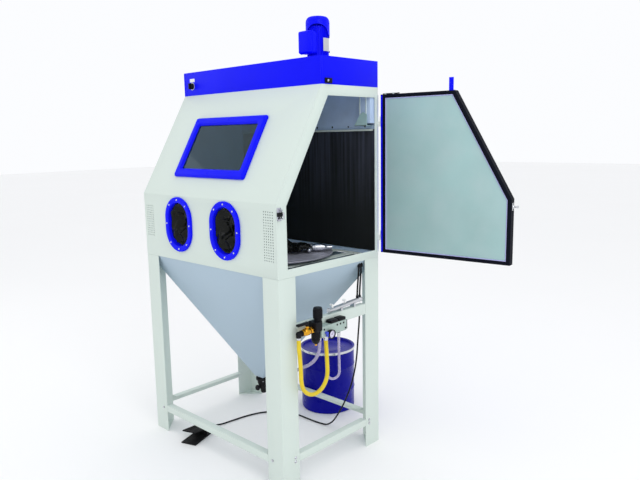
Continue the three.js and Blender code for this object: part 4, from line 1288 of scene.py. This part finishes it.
def door_keeper():
    """A chromed hexagon post on its plate, with two dark screws."""
    x, z = 0.524, 1.235
    out = HUNG.to_3x3() @ Vector((0, -1, 0))
    across = HUNG.to_3x3() @ Vector((1, 0, 0))
    foot = Vector(on_door(x, DOOR_FRONT - 0.0003, z))
    bm = bmesh.new()
    rod(bm, foot + out * 0.0018, foot + out * 0.006, 0.0062, 32, 0.0042)
    rod(bm, foot + out * 0.005, foot + out * 0.0168, 0.004, 32)
    rod(bm, foot + out * 0.0165, foot + out * 0.0232, 0.0062, 6)
    rod(bm, foot + out * 0.0232, foot + out * 0.0247, 0.0062, 6, 0.0046)
    piece("door_keeper_shown", bm, "chrome", "door", "steel", ["door_keeper"])
    plate = bmesh.new()
    door_slab(plate, (x - 0.010, DOOR_FRONT - 0.0023, z - 0.016),
              (x + 0.010, DOOR_FRONT - 0.0003, z + 0.016))
    rounded(piece("door_keeper_plate", plate, "chrome", "door", "steel"), 0.0007, 3)
    screws = bmesh.new()
    for lift in (-0.0115, 0.0115):
        spot = foot + out * 0.002 + Vector((0, 0, lift)) + across * 0.0005
        rod(screws, spot, spot + out * 0.0014, 0.0034, 16, 0.0026)
    piece("door_keeper_screws", screws, "black", "door", "steel")


door_keeper()


# ------------------------------------------------------------------ draw latch
def latch():
    refined("latch_base", "steel", 0.0005, 2)
    low, high = local_box("latch_lever")
    middle = (low.z + high.z) / 2
    refined("latch_lever", "black", 0.0016, 3)
    refined("latch_bail", "chrome", 0.0004, 2)
    screws = bmesh.new()
    for side in (-1, 1):
        ball(screws, (RIGHT + 0.003, -0.325, middle + side * 0.022), 0.0028, (0.5, 1, 1), 8)
        pin = [(0.510, -0.314, middle + side * reach) for reach in (0.0192, 0.0206)]
        rod(screws, *pin, 0.0032, 20)
    piece("latch_screws", screws, "chrome", slot="steel")


latch()


# ------------------------------------------------------------------ air preparation
UNIT_X = 0.528
REG_Y = -0.130


def regulator():
    x, y = UNIT_X, REG_Y
    body = bmesh.new()
    slab(body, (RIGHT + 0.0003, y - 0.035, 0.700), (0.552, y + 0.0056, 0.744))
    rounded(piece("regulator_body_shown", body, "black", slot="black_plastic", replaces=["regulator_body"]),
            0.004, 4, sharp=50)
    profile = [(0, 0.640), (0.006, 0.640), (0.012, 0.644), (0.0165, 0.650), (0.0190, 0.658)]
    for i in range(6):
        z = 0.660 + i * 0.0062
        profile += [(0.0200, z), (0.0200, z + 0.0036), (0.0189, z + 0.0042), (0.0189, z + 0.0058)]
    profile += [(0.0200, 0.6985), (0.0200, 0.7004), (0, 0.7004)]
    turned("regulator_bowl", profile, (x, y - 0.015, 0), "black", slot="black_plastic")
    profile = [(0, 0.740), (0.0185, 0.740), (0.0185, 0.747), (0.017, 0.749), (0.017, 0.752), (0, 0.752)]
    turned("regulator_neck", profile, (x, y, 0), "black", slot="black_plastic")
    knob = bmesh.new()
    profile = [(0, 0.7526), (0.0195, 0.7526), (0.0205, 0.7545), (0.0205, 0.796), (0.0190, 0.802)]
    lathe(knob, profile + [(0.0165, 0.8038), (0, 0.8040)], (x, y, 0))
    for i in range(40):
        angle = 2 * math.pi * i / 40
        spot = (x + 0.0204 * math.cos(angle), y + 0.0204 * math.sin(angle))
        rod(knob, (*spot, 0.757), (*spot, 0.7935), 0.0010, 8)
    piece("regulator_knob_shown", knob, "black", "regulator_knob", "black_plastic", ["regulator_knob"])
    tail = bmesh.new()
    rod(tail, (x, y - 0.015, 0.6335), (x, y - 0.015, 0.641), 0.0058, 6)
    piece("regulator_drain", tail, "brass", slot="brass")


def valve_block():
    """The pilot valve block: a grey-green casting with ports, black caps and screws."""
    block = bmesh.new()
    slab(block, (RIGHT + 0.0003, -0.124, 0.664), (0.545, 0.044, 0.714))
    rounded(piece("valve_block_shown", block, "block", slot="aluminium", replaces=["valve_block"]), 0.003,
            3, sharp=45)
    caps = bmesh.new()
    slab(caps, (RIGHT + 0.008, -0.058, 0.7138), (0.543, -0.012, 0.728))
    slab(caps, (RIGHT + 0.008, -0.006, 0.7138), (0.543, 0.040, 0.728))
    slab(caps, (RIGHT + 0.0015, 0.0422, 0.667), (0.5435, 0.0505, 0.711))
    rounded(piece("valve_caps", caps, "black", slot="black_plastic"), 0.003, 3, sharp=45)
    ports = bmesh.new()
    for y, z in ((-0.108, 0.700), (-0.022, 0.703), (0.000, 0.703), (0.022, 0.703), (0.034, 0.676)):
        rod(ports, (0.5440, y, z), (0.5457, y, z), 0.0046, 20)
    piece("valve_ports", ports, "black", slot="black_plastic")
    screws = bmesh.new()
    for y in (-0.118, -0.012, 0.038):
        for z in (0.6695, 0.7085):
            ball(screws, (0.545, y, z), 0.0026, (0.55, 1, 1), 8)
    piece("valve_screws", screws, "chrome", slot="steel")


def gauge():
    low, high = local_box("pressure_gauge")
    centre = (low + high) / 2
    radius = 0.0205
    centre_line = (low.x, centre.y, centre.z)
    profile = [(0, 0), (0.008, 0), (0.008, 0.004), (0.0185, 0.005), (0.0198, 0.008), (0.0198, 0.0165)]
    profile += [(radius, 0.0175), (radius, 0.0228), (0.0195, 0.0236), (0.0178, 0.0232), (0.0172, 0.0205)]
    profile += [(0.017, 0.018), (0, 0.018)]
    turned("pressure_gauge_shown", profile, centre_line, "black", (1, 0, 0), slot="gauge",
           replaces=["pressure_gauge"])
    profile = [(0, 0.0178), (0.0171, 0.0178), (0.0171, 0.0186), (0, 0.0186)]
    turned("gauge_dial", profile, centre_line, "dial", (1, 0, 0), slot="gauge")
    marks = bmesh.new()
    face = low.x + 0.0188
    for i in range(25):
        angle = math.radians(225 - i * 270 / 24)
        inner = 0.0125 if i % 4 == 0 else 0.0140
        c, s = math.cos(angle), math.sin(angle)
        rod(marks, (face, centre.y - inner * c, centre.z + inner * s),
            (face, centre.y - 0.0158 * c, centre.z + 0.0158 * s), 0.00028, 6)
    needle = math.radians(150)
    c, s = math.cos(needle), math.sin(needle)
    rod(marks, (face + 0.0008, centre.y + 0.004 * c, centre.z - 0.004 * s),
        (face + 0.0008, centre.y - 0.0135 * c, centre.z + 0.0135 * s), 0.0006, 8, 0.0002)
    rod(marks, (face, centre.y, centre.z), (face + 0.0016, centre.y, centre.z), 0.0016, 16)
    piece("gauge_marks", marks, "mark", slot="gauge")


def ball_valve():
    x, z = UNIT_X, 0.709
    bm = bmesh.new()
    profile = [(0, 0), (0.0125, 0), (0.0132, 0.002), (0.0132, 0.0135), (0.0155, 0.0165), (0.017, 0.020)]
    profile += [(0.0172, 0.030), (0.0165, 0.040), (0.0145, 0.0455), (0.0132, 0.0475), (0.0132, 0.0615)]
    lathe(bm, profile + [(0.0125, 0.0645), (0, 0.0645)], (x, -0.2298, z), (0, 1, 0), 48)
    rod(bm, (x, -0.2295, z), (x, -0.2165, z), 0.0155, 6)
    rod(bm, (x, -0.1815, z), (x, -0.1665, z), 0.0155, 6)
    rod(bm, (x, -0.198, z), (x, -0.198, z + 0.024), 0.0078, 32)
    rod(bm, (x, -0.198, z + 0.0165), (x, -0.198, z + 0.0215), 0.0092, 6)
    rounded(piece("ball_valve_shown", bm, "brass", slot="brass", replaces=["ball_valve"]), 0.0005,
            angle=35.0)
    bend = bmesh.new()
    rod(bend, (x, -0.2302, z), (x, -0.250, z), 0.0118, 32)
    ball(bend, (x, -0.250, z), 0.0122)
    rod(bend, (x, -0.250, z), (x, -0.250, 0.6935), 0.0118, 32)
    rod(bend, (x, -0.2302, z), (x, -0.2362, z), 0.0132, 32)
    piece("inlet_elbow", bend, "black", slot="black_plastic")
    profile = [(0, 0.6845), (0.0108, 0.6845), (0.0118, 0.686), (0.0118, 0.6935), (0.0108, 0.695), (0, 0.695)]
    turned("inlet_ferrule", profile, (x, -0.250, 0), "chrome", slot="steel")
    handle = bmesh.new()
    slab(handle, (x - 0.009, -0.258, z + 0.033), (x + 0.009, -0.194, z + 0.0435))
    rounded(piece("ball_valve_handle_shown", handle, "black", "ball_valve_handle", "black_plastic",
                  ["ball_valve_handle"]), 0.004, 5, sharp=60)
    profile = [(0, 0.0266), (0.0082, 0.0266), (0.009, 0.028), (0.009, 0.0415), (0.0078, 0.0436), (0, 0.0442)]
    turned("ball_valve_hub", profile, (x, -0.198, z), "black", body="ball_valve_handle",
           slot="black_plastic")


def hose_fittings():
    """Nuts and elbows where the hoses meet the valve block."""
    nuts = bmesh.new()
    places = ((0.530, -0.084, 0.0118), (0.520, -0.112, 0.0085), (0.540, -0.007, 0.0085),
              (0.516, -0.061, 0.0085))
    for x, y, radius in places:
        rod(nuts, (x, y, 0.6635), (x, y, 0.655), radius, 6)
        rod(nuts, (x, y, 0.6555), (x, y, 0.643), radius * 0.92, 28, radius * 0.86)
    rounded(piece("hose_nuts", nuts, "chrome", slot="steel"), 0.0004, angle=40.0)
    blue = bmesh.new()
    rod(blue, (0.5457, -0.098, 0.684), (0.5560, -0.098, 0.684), 0.0062, 28)
    ball(blue, (0.556, -0.098, 0.684), 0.0064, detail=10)
    rod(blue, (0.556, -0.098, 0.684), (0.556, -0.098, 0.671), 0.0062, 28)
    rod(blue, (0.556, -0.098, 0.673), (0.556, -0.098, 0.669), 0.0072, 28)
    piece("push_in_elbow", blue, "fitting_blue", slot="black_plastic")


RISER_GAP = 0.018
RISER_RADIUS = 0.0042


def manifold():
    start, end = Vector((0.488, -0.018, 0.756)), Vector((0.488, 0.214, 0.768))
    along = (end - start).normalized()
    bm = bmesh.new()
    profile = [(0, 0), (0.0105, 0), (0.012, 0.0015), (0.012, 0.014), (0.0105, 0.016), (0.0105, 0.214)]
    profile += [(0.012, 0.216), (0.012, 0.230), (0.0105, 0.2322), (0, 0.2322)]
    lathe(bm, profile, start, along, 48)
    piece("air_manifold_shown", bm, "aluminium", slot="aluminium", replaces=["air_manifold"])
    clips = bmesh.new()
    for t in (0.35, 0.75):
        spot = start.lerp(end, t)
        slab(clips, (spot.x - 0.015, spot.y - 0.006, 0.7402),
             (spot.x + 0.0115, spot.y + 0.006, spot.z - 0.004))
        bolt(clips, (spot.x - 0.0115, spot.y, spot.z - 0.004), (0, 0, 1), 0.0036, 0.0032)
    piece("manifold_clips", clips, "chrome", slot="steel")
    elbows = bmesh.new()
    for t in (0.12, 0.50):
        spot = start.lerp(end, t)
        rod(elbows, (spot.x, spot.y, spot.z + 0.009), (spot.x, spot.y, spot.z + 0.020), 0.0052, 24)
        ball(elbows, (spot.x, spot.y, spot.z + 0.020), 0.0054, detail=10)
        rod(elbows, (spot.x, spot.y, spot.z + 0.020), (spot.x - 0.013, spot.y, spot.z + 0.020), 0.0048, 24)
    piece("manifold_elbows", elbows, "white", slot="white_plastic")
    grommets = bmesh.new()
    for name, shift in (("riser_front", 0.0), ("riser_rear", RISER_GAP)):
        rise = [(0.488, 0.186 + shift, 0.776), (0.488, 0.187 + shift, 0.806), (0.487, 0.194 + shift, 0.860)]
        rise += [(0.484, 0.204 + shift * 0.9, 0.905), (0.482, 0.209 + shift * 0.8, 0.945)]
        tube(name, spline(rise, TUBE_STEP), RISER_RADIUS, "black", 14, slot="black_plastic")
        wall = [(0.4826, 0.2078 + shift * 0.82, 0.922), (0.4819, 0.2092 + shift * 0.8, 0.938)]
        rod(grommets, *wall, 0.0078, 24)
        rod(grommets, (0.488, 0.186 + shift, 0.7725), (0.488, 0.186 + shift, 0.788), 0.0062, 24)
    piece("riser_fittings", grommets, "black", slot="black_plastic")


regulator()
valve_block()
gauge()
ball_valve()
hose_fittings()
manifold()


# ------------------------------------------------------------------ media valve under the hopper
def media_valve():
    bm = bmesh.new()
    profile = [(0, 0.226), (0.012, 0.226), (0.0135, 0.228), (0.016, 0.240), (0.0295, 0.279), (0.030, 0.284)]
    profile += [(0.030, 0.298), (0.0372, 0.298), (0.038, 0.2992), (0.038, 0.3086), (0.0368, 0.310)]
    profile += [(0.026, 0.310), (0.026, 0.3176), (0.019, 0.3176), (0.019, 0.300), (0, 0.300)]
    lathe(bm, profile, (0, 0, 0), sides=64)
    rod(bm, (0.010, 0, 0.2548), (0.0462, 0, 0.250), 0.009, 32)
    rod(bm, (0.028, 0, 0.2524), (0.036, 0, 0.2513), 0.0115, 6)
    piece("media_valve_shown", bm, "cast", slot="black_plastic", replaces=["media_valve"])
    bolts = bmesh.new()
    for i in range(6):
        a = math.pi * i / 3 + 0.3
        bolt(bolts, (0.0335 * math.cos(a), 0.0335 * math.sin(a), 0.298), (0, 0, -1), 0.003, 0.003)
    piece("media_valve_bolts", bolts, "chrome", slot="steel")
    knob = bmesh.new()
    profile = [(0, 0), (0.005, 0), (0.005, 0.008), (0.0125, 0.0085), (0.014, 0.0105), (0.014, 0.017)]
    lathe(knob, profile + [(0.0125, 0.0196), (0, 0.0196)], (0, -0.0264, 0.262), (0, -1, 0), 40)
    for i in range(20):
        a = 2 * math.pi * i / 20
        rod(knob, (0.0138 * math.cos(a), -0.0366, 0.262 + 0.0138 * math.sin(a)),
            (0.0138 * math.cos(a), -0.0436, 0.262 + 0.0138 * math.sin(a)), 0.0009, 8)
    piece("media_valve_knob_shown", knob, "black", "media_valve_knob", "black_plastic", ["media_valve_knob"])


media_valve()


# ------------------------------------------------------------------ drum
DRUM_LOW, DRUM_HIGH = local_box("drum")
DRUM = (DRUM_LOW + DRUM_HIGH) / 2
DRUM_RADIUS = 0.152


def drum():
    radius, height = DRUM_RADIUS, DRUM_HIGH.z
    outer = [(0, 0), (radius - 0.009, 0), (radius - 0.004, 0.0015), (radius - 0.0015, 0.006),
             (radius - 0.001, 0.012)]
    outer += [(radius - 0.0005, 0.110), (radius + 0.0016, 0.1135), (radius + 0.0022, 0.117)]
    outer += [(radius + 0.0016, 0.1205), (radius - 0.0004, 0.124), (radius, 0.250),
              (radius + 0.0022, 0.2535)]
    outer += [(radius + 0.003, 0.2565), (radius + 0.0022, 0.2595), (radius, 0.263)]
    outer += [(radius, height - 0.012), (radius + 0.0008, height - 0.004), (radius, height)]
    inner = [(radius - 0.003, height), (radius - 0.003, 0.006), (0, 0.006)]
    middle = (DRUM.x, DRUM.y, 0)
    turned("drum_shown", outer + inner, middle, "drum", sides=128, slot="drum_paint", replaces=["drum"])

    top = height + 0.006
    rim = [(0, height - 0.0135), (radius - 0.009, height - 0.0135), (radius - 0.008, height - 0.012),
           (radius - 0.008, height + 0.0004)]
    rim += [(radius + 0.001, height + 0.0004), (radius + 0.001, height - 0.0075),
            (radius + 0.003, height - 0.0078)]
    rim += [(radius + 0.0035, height + 0.001), (radius + 0.002, top - 0.0015), (radius - 0.003, top),
            (radius - 0.008, top - 0.001)]
    rim += [(radius - 0.0105, top - 0.004), (radius - 0.012, height - 0.006),
            (radius - 0.020, height - 0.0098)]
    rim += [(0.075, height - 0.0098), (0.072, height - 0.0088), (0.068, height - 0.0088),
            (0.065, height - 0.0098), (0, height - 0.0098)]
    turned("drum_lid_shown", rim, middle, "drum", sides=128, body="drum_lid", slot="drum_paint",
           replaces=["drum_lid"])

    ring = [(radius + 0.0036, height - 0.0078), (radius + 0.0052, height - 0.0070)]
    ring += [(radius + 0.0060, height - 0.003), (radius + 0.0058, height + 0.002)]
    ring += [(radius + 0.0046, height + 0.0052), (radius + 0.0028, height + 0.0058)]
    ring += [(radius + 0.0036, height + 0.001)]
    turned("drum_clamp_ring", ring, middle, "chrome", sides=128, body="drum_lid", slot="steel")
    clasp = bmesh.new()
    a = math.radians(-60)
    spot = Vector((DRUM.x + (radius + 0.0050) * math.cos(a), DRUM.y + (radius + 0.0050) * math.sin(a),
                   height - 0.001))
    half = Vector((0.0022, 0.021, 0.0055))
    turned_slab(clasp, spot - half, spot + half, a)
    rounded(piece("drum_clasp", clasp, "chrome", "drum_lid", "steel"), 0.0012, 3, sharp=45)


drum()


# ------------------------------------------------------------------ pedal
refined("pedal_base", "cast", 0.0022, 3)
refined("pedal_treadle", "cast", 0.0018, 3)


def treadle_grip():
    """Raised diamond ribs across the treadle, where the foot goes."""
    place = Matrix.Translation(at(-0.224, -0.268, 0)) @ Matrix.Rotation(math.radians(20), 4, "Z")
    place = place @ Matrix.Translation((0, 0.066, 0.034)) @ Matrix.Rotation(math.radians(-11), 4, "X")
    bm = bmesh.new()
    for row in range(11):
        y = -0.138 + row * 0.011
        for side in (-1, 1):
            start = place @ Vector((side * 0.032, y, 0.0058)) - HOME
            end = place @ Vector((side * 0.003, y + 0.010, 0.0058)) - HOME
            rod(bm, start, end, 0.0014, 8)
    piece("treadle_grip", bm, "cast", "pedal_treadle", "black_plastic")


treadle_grip()


# ------------------------------------------------------------------ switch lead on the door
def door_lead():
    """The door switch's box and gland, and a clipped lead along the door's top edge."""
    box = bmesh.new()
    door_slab(box, (0.5194, 0.3310, 1.690), (0.5376, 0.3396, 1.7195))
    rounded(piece("door_switch_box", box, "black", "door", "black_plastic"), 0.0015, 3, sharp=None)
    gland = bmesh.new()
    rod(gland, (0.528, 0.3353, 1.7195), (0.528, 0.3353, 1.726), 0.0042, 6)
    rod(gland, (0.528, 0.3353, 1.726), (0.528, 0.3353, 1.732), 0.0036, 24)
    gland.transform(HUNG)
    piece("door_switch_gland", gland, "brass", "door", "brass")
    lead = [(0.5225, 0.327, 1.7335), (0.5225, 0.300, 1.7338), (0.5225, 0.262, 1.7335),
            (0.5225, 0.240, 1.7345)]
    made = tube("door_top_lead", spline(lead, 0.006), 0.0024, "black", 12, body="door", slot="black_plastic")
    made.data.transform(HUNG)
    clips = bmesh.new()
    for y in (0.312, 0.270):
        door_slab(clips, (0.5188, y - 0.005, 1.7306), (0.5262, y + 0.005, 1.7375))
    piece("door_lead_clips", clips, "chrome", "door", "steel")


door_lead()


# ------------------------------------------------------------------ floor, light and finish
def stage_floor():
    bm = bmesh.new()
    bmesh.ops.create_grid(bm, x_segments=1, y_segments=1, size=30)
    floor = linked("floor", bm)
    floor.location.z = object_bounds()[0][2] - 0.0002
    surface = finish("floor_surface", (0.93, 0.93, 0.93), 0.75, 0, 0.004, 0.6, 40.0, 0.0001)
    floor.data.materials.append(surface)


def area_light(name, place, target, size, power, colour=(1, 1, 1)):
    data = bpy.data.lights.new(name, "AREA")
    data.shape = "RECTANGLE"
    data.size, data.size_y = size
    data.energy = power
    data.color = colour
    lamp = bpy.data.objects.new(name, data)
    lamp.location = at(*place)
    heading = Vector(target) - Vector(place)
    lamp.rotation_euler = heading.to_track_quat("-Z", "Y").to_euler()
    bpy.context.collection.objects.link(lamp)


def light_world():
    world = bpy.data.worlds.new("studio")
    world.use_nodes = True
    background = world.node_tree.nodes["Background"]
    background.inputs["Color"].default_value = (0.97, 0.98, 1.0, 1)
    background.inputs["Strength"].default_value = 1.0
    bpy.context.scene.world = world


stage_floor()
area_light("key", (4.0, -1.6, 3.8), (0, 0, 1.0), (2.4, 2.4), 46, (0.96, 0.98, 1.0))
area_light("fill", (-3.6, -2.4, 2.6), (0, 0, 1.0), (3, 2), 8)
area_light("top", (0.2, 0.6, 4.6), (0, 0, 1), (3, 3), 10)
light_world()
bpy.context.scene.view_settings.view_transform = "Standard"
